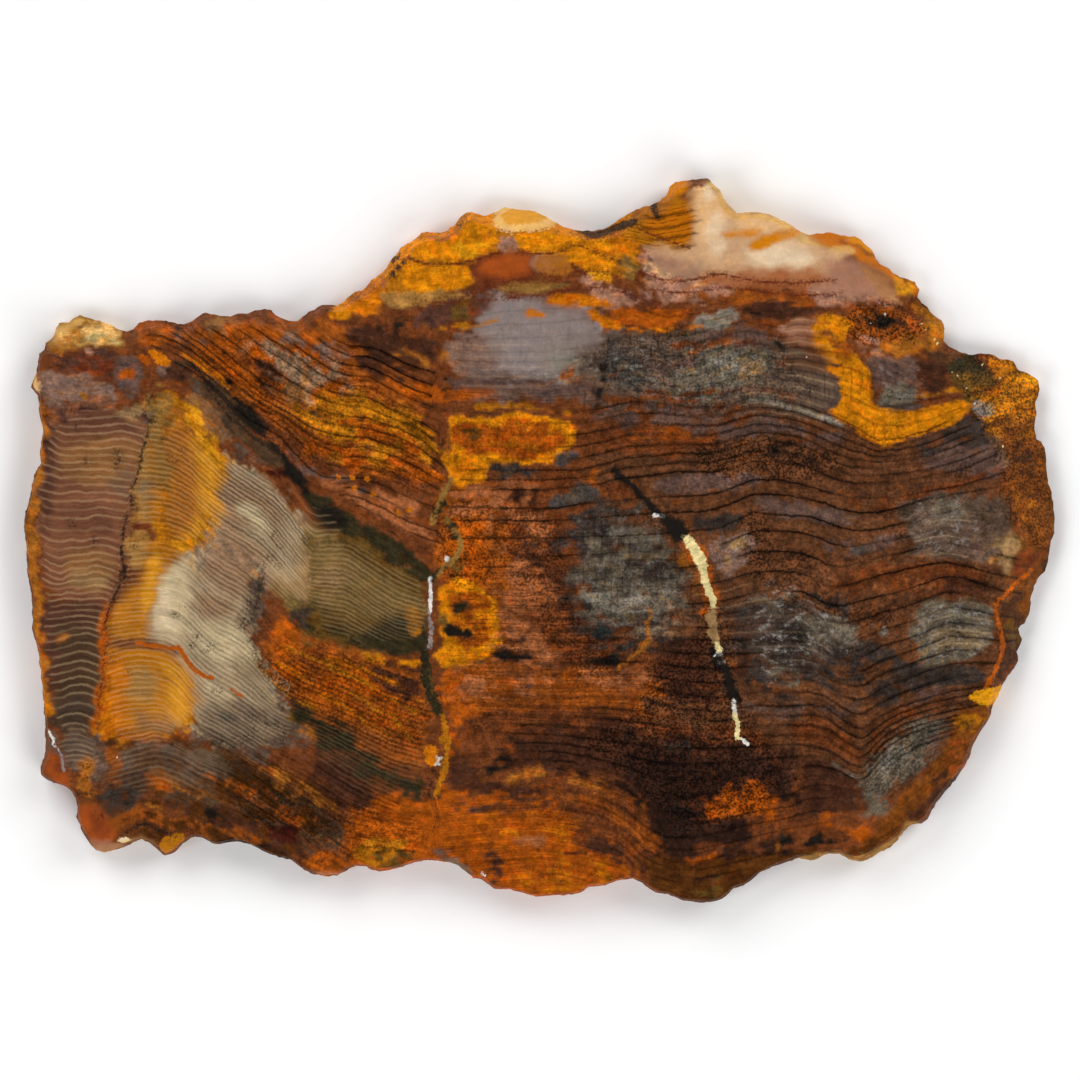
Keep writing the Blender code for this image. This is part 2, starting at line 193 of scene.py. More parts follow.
# The wood and agate under everything else. A mark lies over the ones before it.
GROUND = read_marks("""
# Iron-stained wood of the middle and the right
umber 40: 600,404 900,425 1010,430 1020,560 990,700 950,770 870,820 790,760 720,700 640,640 590,520
rust 24: 432,392 510,396 516,480 506,700 444,750 430,690 450,560
rust 16: 590,410 700,420 740,430 700,454 620,462 584,440
bright_rust 14 0.4: 612,418 690,420 726,436 680,440 620,446
near_black 30 0.3: 700,438 790,428 850,456 840,474 780,468 690,462
mauve_rust 18 0.6: 585,394 700,402 780,416 860,440 800,446 700,436 600,424
dark_rust 30 0.5: 500,520 560,522 590,560 596,640 560,640 520,600 506,570
rust 18: 500,590 540,600 590,650 600,668 520,690 480,690
bright_rust 18 0.8: 496,668 600,670 690,684 700,708 620,716 560,708 500,716
mauve_rust 8 0.7: 500,682 532,682 532,693 500,693
salmon 10 0.4: 560,672 640,666 662,690 600,692
umber 16 0.8: 640,694 720,704 770,706 780,736 700,728 640,716
dark_rust 16: 652,638 690,638 716,655 718,704 690,708 660,690
dark_rust 24: 560,722 640,724 720,736 800,744 800,800 700,800 640,792 590,774 500,774 500,746
near_black 18 0.3: 597,729 652,730 650,750 600,750
teal 8 0.5: 658,741 692,741 690,757 660,757
near_black 12 0.5: 477,750 515,750 515,775 480,775
salmon 5 0.8: 646,726 654,728 653,738 647,737
mauve_rust 8: 650,476 700,472 757,474 752,490 700,495 655,494
salmon 8 0.4: 660,490 720,488 740,482 745,492 700,498 660,498
mauve_rust 8: 750,498 800,500 845,510 862,520 830,528 800,518 760,514
rust 8 0.7: 840,500 905,498 940,492 975,486 905,508 860,511
mauve_rust 8 0.5: 800,530 840,540 900,530 900,546 840,556 800,546
slate 6 0.8: 847,548 864,544 880,546 872,556 852,558
rust 14 0.8: 824,566 880,560 985,566 985,590 900,596 850,600
salmon 8 0.5: 860,588 900,580 960,574 970,582 900,592
dark_rust 16 0.7: 900,576 985,580 985,600 930,602
dark_rust 20 0.5: 728,616 757,622 757,696 732,690
mauve_rust 14 0.5: 745,700 850,700 862,716 800,718 745,712
chocolate 26: 600,756 700,748 800,760 796,830 770,770 720,806 690,866 655,860 640,800
near_black 26 0.35: 650,786 692,794 690,840 670,860 650,820
rust 14: 790,716 830,716 862,752 860,766 830,750 790,740
dark_rust 18: 798,756 835,760 866,790 860,806 830,822 800,826
rust 16 0.6: 868,710 940,690 960,710 900,730 872,760
orange 5 0.5: 856,682 867,680 862,692 855,692
# The orange stain round the middle vein
bright_rust 12: 436,480 506,484 500,530 486,580 440,590 436,540
salmon 6 0.9: 446,487 502,486 504,498 446,500
salmon 6 0.9: 446,504 500,503 502,519 446,521
bright_rust 24 0.8: 466,500 516,516 524,690 466,704
chocolate 8 0.8: 504,489 540,488 540,506 506,506
burnt 12 0.6: 446,508 486,514 492,560 490,590 448,588 444,560
olive 10 0.5: 450,540 470,540 474,570 452,580
ochre 6: 437,586 450,580 472,580 488,590 498,610 501,634 497,652 486,661 470,664 456,670 442,668 436,654
    444,640 438,620 440,604
burnt 10 0.75: 448,590 480,588 492,612 488,646 458,656 448,620
dark_olive 6 0.6: 454,598 470,596 474,612 460,616 450,610
near_black 4 0.85: 444,622 458,624 474,634 470,640 452,636 442,630
olive 4 0.6: 436,610 446,608 448,626 438,628
deep_orange 12 0.7: 436,664 500,664 500,700 470,716 444,720
salmon 24 0.7: 498,560 545,570 560,640 540,700 456,700 456,668 498,664
salmon 24 0.4: 476,476 545,480 548,556 490,560
bright_rust 24 0.5: 470,668 560,664 566,712 470,720
near_black 12 0.7: 494,640 514,638 534,650 530,662 505,664 490,658
charcoal 12 0.6: 510,622 528,630 534,650 520,650
deep_orange 8 0.5: 448,700 462,704 460,760 446,760
dark_rust 10 0.8: 449,753 477,753 477,798 449,798
ochre 5: 441,424 450,418 470,419 490,416 515,413 548,416 566,420 573,430 576,440 568,452 558,461 532,465
    500,461 492,468 490,486 452,486 446,466 440,450
burnt 7 0.8: 450,422 480,423 505,420 545,421 563,430 563,446 548,456 524,459 496,455 470,454 450,446
olive 5 0.4: 462,428 500,426 500,436 470,440
olive 5 0.35: 520,428 552,430 548,446 520,444
orange 6 0.7: 452,460 488,462 488,482 456,484
band gold 6 4 0.7: 480,406 505,405 530,406 552,409 570,414
slate 8 0.6: 556,452 584,450 580,468 556,470
bright_rust 8 0.5: 580,430 592,432 602,470 604,512 594,500 584,450
# Weathered grey agate of the upper middle
lilac 26: 470,312 494,296 540,294 552,310 592,314 610,332 600,350 574,364 562,386 520,400 474,388
    468,344
dusk_grey 26: 600,330 700,325 800,345 840,375 848,412 800,420 740,408 640,404 570,396 590,350
mauve 20 0.8: 446,332 492,334 500,372 440,380
dusk_grey 20 0.6: 556,342 606,336 612,376 560,384
mauve_rust 18: 455,370 560,378 600,384 600,404 540,404 450,392
mauve_rust 14 0.7: 625,360 700,356 700,376 640,384
slate 24: 600,350 650,352 650,388 606,388
cloud 20: 668,366 716,364 718,398 670,398
cloud 22: 698,340 766,338 770,390 706,390
pale_cloud 10 0.7: 710,350 740,350 745,372 712,374
pale_cloud 20 0.7: 540,346 576,342 580,376 546,382
near_black 8 0.45: 592,350 606,350 604,428 594,428
tan 14 0.3: 740,352 770,352 766,380 742,382
rose 10 0.5: 775,316 824,320 832,352 790,346
mauve_rust 12 0.7: 700,326 770,322 790,344 700,352
pale_cloud 10 0.7: 700,306 746,308 748,322 716,328 690,326
umber 8 0.6: 778,354 836,360 836,374 780,368
band rust 6 6 0.9: 674,346 700,342 730,340 757,341
band salmon 3 4 0.7: 690,350 722,343 750,340
band rust 7 6 0.9: 652,392 680,394 708,390
band rust 6 6 0.9: 609,398 640,400 671,398 700,402
band rust 5 6 0.6: 606,374 637,372
band rust 5 6 0.6: 720,392 750,386 772,392 790,398
band pale_cloud 5 6 0.9: 751,398 790,406 820,414 843,422
bright_rust 8 0.8: 556,366 576,368 574,378 558,378
near_black 6 0.5: 776,338 788,340 786,354 778,352
# Cloudy agate of the middle and the right
charcoal 44 0.8: 562,506 640,500 690,550 690,600 676,640 640,640 600,640 585,620 560,580
cloud 40 0.6: 572,530 650,526 684,560 684,620 640,632 600,626 580,590
pale_cloud 30 0.6: 580,566 632,570 646,600 632,616 600,618 582,604
rose_tan 24 0.45: 648,592 682,596 680,632 654,640
teal 24 0.35: 588,616 634,622 636,646 598,664 584,640
near_black 24 0.55: 580,636 640,636 630,668 596,672
band amber 5 2.5: 648,606 650,626 646,646 634,660 616,669
slate 12 0.8: 545,492 560,488 590,487 598,493 594,503 570,507 545,508
charcoal 12: 490,464 540,466 540,476 492,478
rust 10: 604,478 636,480 640,498 604,502
near_black 10 0.8: 655,512 680,514 694,530 680,540 664,530
charcoal 12 0.8: 690,514 740,512 742,526 700,534
amber 10 0.5: 672,545 688,545 702,600 694,606 682,580
band deep_orange 20 8 0.7: 690,542 699,560 706,590 711,606
band near_black 13 5 0.9: 715,652 723,668 729,684 734,702
band near_black 7 4 0.9: 616,470 630,486 644,500 658,514
mauve 14 0.8: 708,546 738,528 758,532 750,566 718,582
tan 7 0.6: 714,548 736,536 746,542 720,566
charcoal 40 0.75: 726,590 780,590 850,606 858,640 850,676 800,690 750,690 730,640
cloud 20 0.6: 752,588 790,592 790,616 758,616
cloud 14 0.6: 768,662 806,662 804,684 770,684
cloud 14 0.8: 800,610 850,614 858,644 820,650 796,636
near_black 24 0.5: 781,622 812,628 814,660 784,656
charcoal 20 0.8: 850,640 900,650 905,700 850,706
umber 14: 862,660 900,664 890,680 862,684
pale_cloud 8 0.6: 872,624 886,622 884,634 872,632
mauve_rust 24: 930,440 1000,430 1005,470 960,480 930,470
charcoal 18 0.7: 915,446 965,430 962,444 930,462
rust 10 0.8: 905,492 940,486 1000,462 1000,474 950,492 910,502
dusk_grey 24: 900,500 960,496 1005,500 1008,540 985,560 920,562 905,530
cloud 10 0.8: 928,500 962,500 962,524 930,524
mauve_rust 14 0.5: 955,520 1000,520 985,560 955,560
tan 20 0.6: 989,550 1004,536 1018,538 1016,560 1004,574 990,570
cloud 18: 915,604 950,598 992,604 994,650 950,664 912,664
tan 14 0.4: 924,632 960,626 990,630 988,654 930,656
charcoal 10: 880,662 940,664 994,668 985,684 900,694
mauve_rust 18 0.7: 900,690 985,676 970,700 900,708
cloud 26 0.95: 858,806 868,772 894,734 926,722 944,720 940,744 915,768 892,794 874,814
pale_cloud 18 0.5: 880,754 910,738 906,764 880,786
mauve_rust 12 0.5: 916,734 940,728 936,752 914,756
band cloud 5 6 0.7: 838,764 852,774 862,782
# Amber and rust along the right and bottom right edges
rim_brown 12: 1000,436 1036,425 1062,470 1064,530 1050,580 1030,612 1008,640 1012,600 1020,545 1015,500
    1004,460
gold 8 0.35: 1012,486 1028,470 1034,500 1040,530 1024,524
dark_rust 12 0.55: 1030,545 1066,535 1056,580 1032,604
deep_orange 10 0.25: 1034,470 1056,470 1058,540 1044,560 1036,520
dark_rust 8 0.6: 1010,440 1030,446 1028,470 1008,466
red_brown 10 0.7: 1014,552 1032,556 1022,580 1010,576
dark_rust 8 0.8: 1002,600 1020,596 1024,640 1004,690 996,660
olive 6 0.6: 1006,610 1018,612 1014,650 1004,650
rim_brown 14: 966,700 1000,690 985,730 950,780 900,836 860,858 860,836 900,800 945,752
dark_rust 14 0.6: 905,800 950,764 980,744 945,800 900,830
dark_rust 8 0.7: 958,702 990,708 984,716 960,714
jasper 8 0.4: 950,736 978,742 968,770 944,776
band deep_orange 5 6 0.4: 884,820 905,796 930,774 955,755
gold 5 0.6: 957,716 975,714 990,722 976,732 960,730
dark_olive 4 0.4: 962,718 984,720 976,728 964,728
rust 16 0.8: 836,806 860,822 880,820 866,850 800,850 790,830 800,826
burnt 12 0.5: 820,812 846,812 868,830 868,850 846,838 826,828
near_black 9 0.75: 802,838 822,830 846,838 840,850 806,850
burnt 14 0.5: 682,818 720,790 756,772 772,796 793,812 794,832 770,826 750,812 700,824
burnt 8 0.5: 724,800 750,784 768,802 752,812 728,812
chocolate 6: 690,822 750,818 756,834 740,845 694,844
burnt 12 0.5: 680,850 700,850 729,856 726,872 690,870 650,850 642,824 654,826 668,846
rust 7 0.7: 729,842 764,842 764,850 730,852
near_black 8 0.6: 732,848 760,846 764,860 738,866
near_black 8 0.6: 768,832 796,830 796,856 770,858
amber 5 0.6: 768,838 776,838 776,862 768,862
chocolate 20 0.6: 636,844 760,834 800,850 780,872 700,892 646,884
olive 14 0.6: 640,866 680,872 720,872 744,880 720,905 660,900
dark_rust 8 0.6: 722,866 752,864 748,884 724,884
band rust 7 6 0.6: 792,800 796,830 799,856
dark_amber 16 0.7: 636,850 700,866 770,850 860,850 910,820 900,850 840,874 740,910 660,910
band tan_gold 8 5 0.9: 798,861 832,857 850,863 876,858 896,844 912,824
# The bottom in the middle
burnt 20: 345,802 430,796 500,790 560,800 572,840 632,866 632,890 540,905 440,880 340,885
bright_rust 24 0.5: 560,776 600,774 634,792 654,830 660,866 630,852 580,832 560,810
rust 14 0.6: 572,800 610,806 636,836 600,836 576,824
amber 12 0.35: 498,768 560,770 600,778 634,800 640,812 600,796 560,784 512,782
dark_rust 12 0.6: 477,780 545,786 572,790 560,806 470,800
rust 12 0.7: 450,798 566,798 566,814 450,812
orange 14 0.35: 458,824 486,814 540,812 566,826 574,842 540,846 476,838
salmon 8 0.6: 510,832 544,834 542,848 512,846
orange 10 0.45: 536,854 575,852 604,856 626,860 634,872 600,890 550,896 510,880
dark_rust 6 0.8: 576,838 620,840 628,856 590,854
dark_rust 6 0.6: 482,850 502,850 506,880 492,884 486,866
olive 10 0.7: 362,838 404,840 414,866 372,872
gold 6 0.6: 352,848 372,840 408,842 400,850 382,868 368,872
mauve 8 0.7: 434,848 462,856 480,880 462,880 440,862
burnt 8: 300,852 345,856 340,880 300,872
salmon 5 0.7: 302,866 330,872 346,872 330,884 306,876
deep_orange 10 0.6: 318,830 352,824 420,812 440,828 360,842 320,850
charcoal 8 0.5: 446,808 486,806 486,814 450,816
band dark_rust 2 3 0.8: 560,853 590,855 618,857 632,866
# The rust patch left of the middle vein
bright_rust 18: 262,640 286,616 300,632 330,642 360,650 426,668 428,720 430,776 400,770 366,752 336,726
    296,700 268,676
deep_orange 14: 268,640 280,612 292,620 300,650 280,660
burnt 20 0.7: 270,660 330,650 400,690 420,740 340,716 290,700
dark_rust 18 0.7: 356,664 424,670 426,704 380,700
red_brown 12 0.6: 296,652 330,650 320,662 298,664
dark_olive 18 0.65: 300,704 340,716 380,760 430,782 428,800 380,798 340,776 306,740 278,716
dark_rust 20: 312,748 360,772 376,800 340,808 316,784
olive 12: 262,700 290,712 300,728 286,740 266,722
amber 5: 288,727 308,727 318,742 296,738
band gold 4 4: 266,672 284,690 300,702 316,706
gold 8 0.9: 348,646 372,652 388,664 362,664
band gold 4 4 0.7: 286,648 316,662 350,676 384,694 414,714
band orange 4 4 0.7: 280,664 306,682 338,700 366,722 392,740
band gold 3 4 0.6: 316,676 350,692 384,712 410,734
band orange 4 4 0.6: 330,660 362,670 396,684 422,698
ochre 6: 394,656 418,658 416,664 398,664
# The olive wedge above it
wedge 14: 300,520 330,530 380,556 428,586 428,650 390,640 330,640 296,620 272,590 270,556
tan 14: 272,540 306,540 312,600 290,596 274,574
cream 10 0.6: 276,556 296,556 302,584 284,580
tan 16 0.5: 312,560 352,556 360,590 320,602
olive 16: 300,606 345,614 410,620 426,640 360,650 305,640
dark_olive 14: 388,616 426,612 428,656 380,652 340,636 380,628
dark_olive 12 0.5: 290,600 330,612 400,640 390,650 330,644 292,626
charcoal 10 0.8: 290,606 312,604 306,628 290,622
gold 6 0.4: 404,600 422,606 424,640 410,640
# The pale wood left of the fold
cream 26: 214,446 240,458 268,478 296,512 308,540 290,566 262,580 258,604 246,626 258,668 284,692
    288,722 262,748 200,742 180,700 150,640 146,610 160,570 196,545 216,520 222,480
rose_tan 26: 216,470 262,486 290,520 262,572 240,606 214,590 196,560 214,530
cream 14 0.8: 232,500 262,510 282,540 270,556 246,536
pale_cream 12: 238,500 256,508 270,534 256,536
pale_cream 14: 152,566 182,562 190,590 186,640 160,636 150,600
milk 16 0.8: 156,590 170,588 176,624 160,628
pale_cream 18 0.9: 188,618 224,620 258,640 262,664 232,674 204,660
pale_cream 12 0.8: 196,676 222,686 236,702 212,704
rose_tan 14: 196,590 226,600 240,616 216,622 198,612
dusk_grey 28 0.65: 200,704 240,690 296,706 310,744 268,764 210,756 190,730
stone_grey 20 0.5: 230,650 258,652 284,694 270,716 240,690
dusk_grey 16 0.9: 256,572 272,592 264,622 246,636 242,612
teal 8 0.5: 214,712 236,716 232,726 216,724
tan_gold 14: 140,400 152,396 154,470 150,540 146,566 126,562 130,500
gold 16: 152,392 200,396 222,430 226,480 216,512 196,545 160,566 150,540 154,470
olive_gold 20: 152,386 176,392 176,480 160,500 152,440
amber 22 0.8: 168,400 186,404 198,440 196,480 202,512 188,546 160,540 168,480
tan_brown 16: 180,388 214,400 236,440 220,446 200,412
band bright_gold 16 24: 194,410 208,448 212,490 206,524 190,544
red_brown 5 0.7: 130,522 152,523 151,530 130,530
tan_gold 10: 124,530 148,532 146,566 124,570
gold 16: 146,544 166,540 162,580 152,606 144,644 112,652 110,610 122,598 140,584
bright_gold 8: 148,552 160,550 154,596 144,620 142,590
gold 18: 102,648 146,644 184,654 196,700 192,734 120,746 98,738 98,690
tan_gold 14: 120,664 154,666 158,704 124,704
bright_gold 16 0.9: 160,660 180,662 192,700 186,724 172,726 168,690
orange 16 0.9: 100,648 126,650 124,738 100,742
rust 6 0.9: 110,638 150,638 184,650 184,655 150,648 110,646
burnt 16 0.6: 106,722 140,732 180,730 190,744 150,754 104,746
tan_brown 12 0.7: 130,710 170,714 192,734 160,738 134,728
near_black 10 0.35: 256,570 270,580 262,612 248,640 242,628 254,600
charcoal 14 0.5: 198,728 240,728 280,744 240,756 204,748
near_black 12 0.3: 150,404 166,408 160,430 148,426
cloud 10 0.5: 140,478 160,480 158,500 136,498
cloud 8 0.6: 138,412 152,410 150,430 138,430
# The left column
mauve_brown 14: 30,400 150,400 142,460 128,510 122,560 120,590 108,602 40,602
dusk_brown 10 0.6: 50,404 120,402 138,420 134,436 60,438
tan_brown 14: 60,440 140,440 138,466 110,490 60,478
dusk_grey 14 0.5: 112,466 136,464 130,500 108,498
dusk_brown 12 0.4: 50,500 122,504 120,536 54,534
tan_brown 14: 62,548 112,546 114,592 66,594
tan 10 0.6: 66,572 108,570 110,590 70,592
deep_brown 14: 44,606 102,602 104,640 98,700 92,740 50,734 56,690
dusk_brown 12 0.7: 48,600 98,598 102,626 52,628
charcoal 14 0.5: 62,690 94,690 92,730 62,732
dusk_brown 12: 42,424 54,436 58,466 52,500 44,540 38,520 42,480
dusk_brown 10: 38,600 52,596 58,640 60,690 50,690 44,640
band amber 12 10: 38,410 40,440 38,470 30,510 30,545 36,590 38,640 44,690 46,716
deep_orange 10 0.3: 34,540 42,540 48,590 36,592
deep_orange 10 0.3: 34,620 48,622 50,660 40,664
orange 6: 44,700 56,706 58,716 48,718
amber 5: 54,636 66,634 70,640 58,644
band deep_orange 7 6 0.8: 105,606 104,640 103,672 101,700 94,722
# The lower left
dusk_grey 16: 58,726 92,732 110,744 104,790 66,770
mauve 14 0.5: 66,752 104,760 100,786 72,780
deep_brown 20: 150,744 226,748 262,764 345,816 340,850 280,846 200,820 150,790
dusk_grey 18: 106,742 190,742 226,762 214,782 160,776 110,774
charcoal 18 0.8: 96,776 140,768 160,776 150,804 124,822 98,820
near_black 22 0.2: 96,772 150,770 164,790 150,812 110,822 96,806
amber 10 0.4: 140,764 170,770 200,790 230,812 220,816 180,796 146,778
orange 6 0.4: 156,766 172,772 166,778 154,774
burnt 14 0.5: 200,764 240,776 300,806 330,834 312,836 262,806 214,786
amber 10 0.6: 240,752 290,772 330,800 350,816 330,818 280,788 244,768
burnt 8 0.7: 142,772 160,780 178,790 168,794 146,784
amber 5 0.6: 144,796 166,802 168,810 146,804
bright_rust 6 0.7: 106,744 120,748 118,782 108,786
amber 6 0.8: 76,756 92,754 94,796 78,796
dark_rust 16: 180,800 240,806 310,846 300,862 240,854 190,838
near_black 14 0.5: 192,802 214,806 232,824 204,824
near_black 14 0.4: 240,806 264,812 254,828 240,824
bright_rust 12 0.8: 196,824 230,828 262,836 252,850 216,848 198,838
chocolate 16 0.7: 214,830 300,850 300,874 240,860 210,848
band bright_rust 10 6: 112,826 128,818 142,812 158,818 172,828 192,820 200,832
maroon 10: 262,822 292,824 304,842 276,846 262,836
jasper 12: 76,806 100,806 114,830 118,848 96,852 76,826
red_brown 10 0.6: 80,808 104,808 110,836 92,840
rose 6 0.8: 84,840 122,842 112,858 90,856
jasper 8 0.7: 36,760 56,742 66,776 74,794 50,790
red_brown 6 0.7: 48,752 62,760 64,776 52,772
mauve_rust 6: 44,728 58,744 66,764 54,756 44,744
tan_brown 6: 122,834 150,832 160,846 126,850
dark_amber 40 0.4: 96,730 180,736 260,750 350,800 350,880 230,870 96,850
# The streaky grain above the fold
rust 18: 120,322 250,310 345,310 400,330 440,400 450,470 430,505 330,486 300,470 262,425 190,350 130,350
bright_rust 16 0.9: 180,330 250,316 345,326 420,380 440,470 380,480 300,440 240,400 190,360
mauve 14 0.6: 160,328 190,326 212,342 196,350 164,344
mauve 18 0.5: 238,320 296,326 350,348 352,378 300,356 246,336
tan_brown 10 0.8: 196,316 236,316 246,336 214,336
burnt 8: 116,328 160,318 176,334 160,344 130,340
burnt 14 0.7: 200,318 250,318 320,350 350,390 300,392 240,362
band burnt 8 6: 256,336 268,342 290,356 312,374 332,386
band orange 7 6 0.8: 182,352 200,362 214,374 230,392
band burnt 10 8 0.9: 206,348 224,360 240,376 262,394
dark_rust 14 0.4: 238,350 262,352 290,380 280,396 250,376
tan_brown 12 0.8: 278,376 312,378 326,398 310,412 286,398
rose_tan 24 0.5: 240,330 300,340 352,372 340,412 290,402 250,370
burnt 12 0.7: 300,388 344,388 350,412 316,416
dark_rust 14 0.5: 232,394 270,410 282,436 250,424 234,408
amber 12 0.4: 268,406 320,412 330,440 290,436
amber 16 0.5: 316,410 376,414 430,440 430,472 380,462 330,444
dark_olive 8 0.5: 300,412 340,414 400,424 404,430 350,426 310,422
gold 12 0.7: 330,396 380,398 424,418 442,444 420,446 380,428 340,410
ochre 7 0.7: 366,400 410,410 438,436 430,444 400,426 370,410
gold 24 0.6: 286,398 340,394 400,402 440,428 452,460 420,470 360,462 306,448
burnt 12 0.5: 330,412 380,416 420,440 400,452 350,440
dark_olive 8 0.35: 342,424 372,426 384,438 356,438
burnt 10 0.7: 306,440 350,450 400,456 440,470 440,484 380,470 310,462
burnt 8: 398,440 420,444 424,458 402,458
gold 8 0.6: 420,446 450,450 452,472 424,468
mauve_rust 8 0.7: 292,442 308,462 330,474 360,472 350,482 318,482 296,464
rust 12: 304,474 360,478 440,504 440,548 390,530 345,506
salmon 8 0.6: 320,476 360,480 432,506 430,522 380,506 330,490
salmon 8 0.5: 350,494 400,510 436,530 432,544 390,524
slate 4 0.5: 356,484 372,486 372,496 358,494
slate 4 0.5: 382,494 396,496 394,504 382,502
dark_rust 14 0.8: 345,326 400,330 440,352 420,372 352,350
dark_rust 8 0.7: 352,354 380,354 420,380 400,384 358,374
amber 8 0.6: 386,348 440,352 456,362 420,366
burnt 10 0.6: 352,374 400,384 440,384 500,388 500,402 440,404 370,392
bright_rust 16 0.4: 120,318 250,308 350,318 350,356 250,352 130,348
# The black fold and what lies along it
band deep_brown 14 14: 184,366 206,382 226,402 240,430 256,448 280,462
band near_black 12 12 0.85: 228,386 252,420 264,436 280,450 292,470 304,490 318,502
dark_olive 12: 304,494 336,502 360,520 408,548 430,566 428,586 396,568 362,544 330,532 312,520
near_black 10 0.8: 310,500 338,504 352,522 330,528 312,516
olive 10: 322,528 350,532 400,566 428,588 424,600 380,574 340,544
band dusk_grey 10 12 0.8: 198,384 214,406 224,432 238,448 258,460 274,472
maroon 8 0.8: 262,466 280,466 286,478 270,478
dusk_brown 10 0.6: 226,448 262,458 262,470 232,464
# The top left corner
tan_gold 8: 40,345 56,322 78,314 112,328 122,338 118,346 80,346 50,352
peach 10 0.65: 44,336 60,322 78,314 114,330 118,342 60,346
gold 8 0.8: 56,332 90,330 84,344 54,348
cream 7: 84,336 108,338 118,345 88,343
rust 10: 110,328 140,334 138,350 118,350
dusk_brown 8: 46,352 84,350 122,352 122,386 92,380 50,366
amber 5: 47,347 64,348 62,358 50,356
rose 5 0.7: 84,348 96,350 94,358 84,356
red_brown 8 0.6: 50,356 84,352 122,366 118,384 84,382
band jasper 8 6 0.7: 54,360 70,368 86,374 104,377
mauve 12: 40,370 112,380 114,406 60,404 40,398
mauve_rust 12 0.5: 50,380 84,388 84,400 62,398
mauve_rust 8 0.6: 60,398 78,400 80,408 66,410
mauve_brown 8: 84,394 118,396 120,412 86,412
gold 5 0.8: 80,392 88,396 84,402 78,400
tan 10 0.7: 116,402 144,400 146,420 118,418
mauve_rust 8: 118,356 138,354 146,374 138,398 120,400 115,382
burnt 5 0.6: 124,366 138,364 136,378 124,378
rust 8: 140,366 150,372 152,388 142,388
dark_rust 8: 158,372 184,360 200,376 170,382
mauve 5: 158,366 170,364 170,372 160,373
peach 5: 28,384 34,376 40,388 36,394
# The top: orange rim, glow, bands and lilac agate
gold 12: 352,300 386,270 400,240 430,220 470,205 500,210 560,225 640,226 640,284 560,262 500,250 470,262
    450,292 390,300 360,318
band ochre 26 8: 340,308 372,280 394,250 418,226 446,206 486,204
band ochre 20 8: 550,222 590,232 624,224 650,204 676,186
orange 10: 350,296 372,276 392,290 384,312 350,318
salmon 8 0.5: 372,276 392,276 404,296 390,300
ochre 5: 398,240 412,228 440,206 470,204 492,208 500,222 500,240 474,262 448,262 420,256 404,250
ochre 5: 400,262 420,262 440,266 466,264 474,276 472,289 446,291 420,288 404,280
yellow 6 0.5: 450,244 480,236 492,240 476,258 456,260
yellow 6 0.4: 408,266 440,270 440,284 412,280
band rust 3 3 0.8: 408,256 424,262 440,264 470,262 500,252
band salmon 3 3 0.6: 426,236 446,236 470,232 494,232
tan_gold 8: 386,288 474,290 474,302 420,306 384,304
dusk_brown 10: 414,308 458,302 490,294 494,312 440,324 410,326
mauve_rust 8 0.7: 440,296 500,288 500,300 450,306
near_black 12 0.5: 370,316 404,314 410,330 396,338 374,334
dark_rust 14 0.6: 346,320 380,326 440,340 440,352 360,348
olive 6 0.8: 450,300 478,296 480,324 452,326
red_brown 5 0.7: 468,304 484,304 484,318 470,318
band gold 5 4 0.8: 439,326 460,328 480,326 496,320
olive_gold 8 0.7: 500,280 540,278 570,284 566,292 530,294 498,292
rose 8 0.9: 496,235 518,235 522,254 500,254
red_brown 8: 471,262 490,254 530,254 534,274 510,282 471,286
jasper 12: 482,257 524,253 532,268 500,277 480,272
rose 8 0.8: 530,254 562,252 566,270 534,274
amber 6 0.8: 534,254 572,252 572,276 540,278
ochre 5: 516,240 530,234 560,230 590,232 612,236 616,250 590,254 560,254 530,256 518,250
ochre 5: 570,246 596,248 614,256 618,268 604,274 574,272
yellow 4 0.9: 586,274 604,272 613,278 606,286 590,284
olive_gold 8 0.8: 612,258 636,258 642,282 618,276
orange 6 0.9: 606,230 636,226 640,256 614,252
rose 6 0.5: 586,272 610,286 596,292 580,286
gold 8: 616,204 660,200 690,196 700,226 690,254 660,250 630,242 612,226
orange 8 0.8: 640,214 664,206 690,204 696,228 680,246 650,240
chalcedony 16: 636,254 660,248 694,248 700,190 720,184 738,212 770,212 810,236 848,262 850,290 800,280
    740,276 700,288 650,284
rose 10 0.6: 630,256 660,252 700,262 700,284 650,286
peach 14: 688,190 704,178 724,196 726,214 712,246 698,240
milk 8 0.7: 700,184 716,184 720,200 706,206
peach 8: 736,212 774,214 800,228 760,232 740,226
milk 10 0.6: 706,214 726,214 730,240 724,262 704,252
milk 16 0.8: 740,244 812,244 822,268 750,270
ochre 5 0.7: 722,232 744,228 760,226 760,234 730,238
ochre 5 0.8: 748,238 770,232 790,226 796,234 776,246 750,252
rose 14: 640,274 700,284 740,274 756,288 700,304 652,304
mauve 18 0.45: 640,256 704,260 712,288 645,290
rose 10: 586,288 626,288 652,304 610,310 588,302
dusk_brown 6 0.7: 616,280 640,290 656,306 640,304 622,290
rust 8: 700,300 740,290 746,308 706,310
salmon 12 0.8: 700,270 800,266 846,270 850,288 800,292 700,288
bright_rust 10 0.8: 700,290 800,288 842,292 842,306 770,306 700,302
rose 8: 804,288 840,280 866,286 866,304 820,308
dark_rust 8: 740,302 812,304 820,314 770,320 744,314
rose 20 0.8: 820,250 870,262 900,296 900,316 862,310 826,280
chalcedony 8 0.8: 806,240 840,246 846,262 816,262
orange 8: 800,228 844,222 882,240 930,276 940,310 916,304 890,280 850,252 808,242
ochre 6: 836,228 868,234 904,262 924,290 900,280 880,262 850,242
gold 8: 926,306 944,320 946,346 932,344 922,322
band yellow 7 5 0.7: 812,231 836,227 858,237 878,252
yellow 6 0.8: 884,270 908,284 918,300 896,294
band red_brown 4 4 0.7: 842,242 866,250 884,264 902,284
peach 6 0.6: 824,246 850,244 858,256 836,262
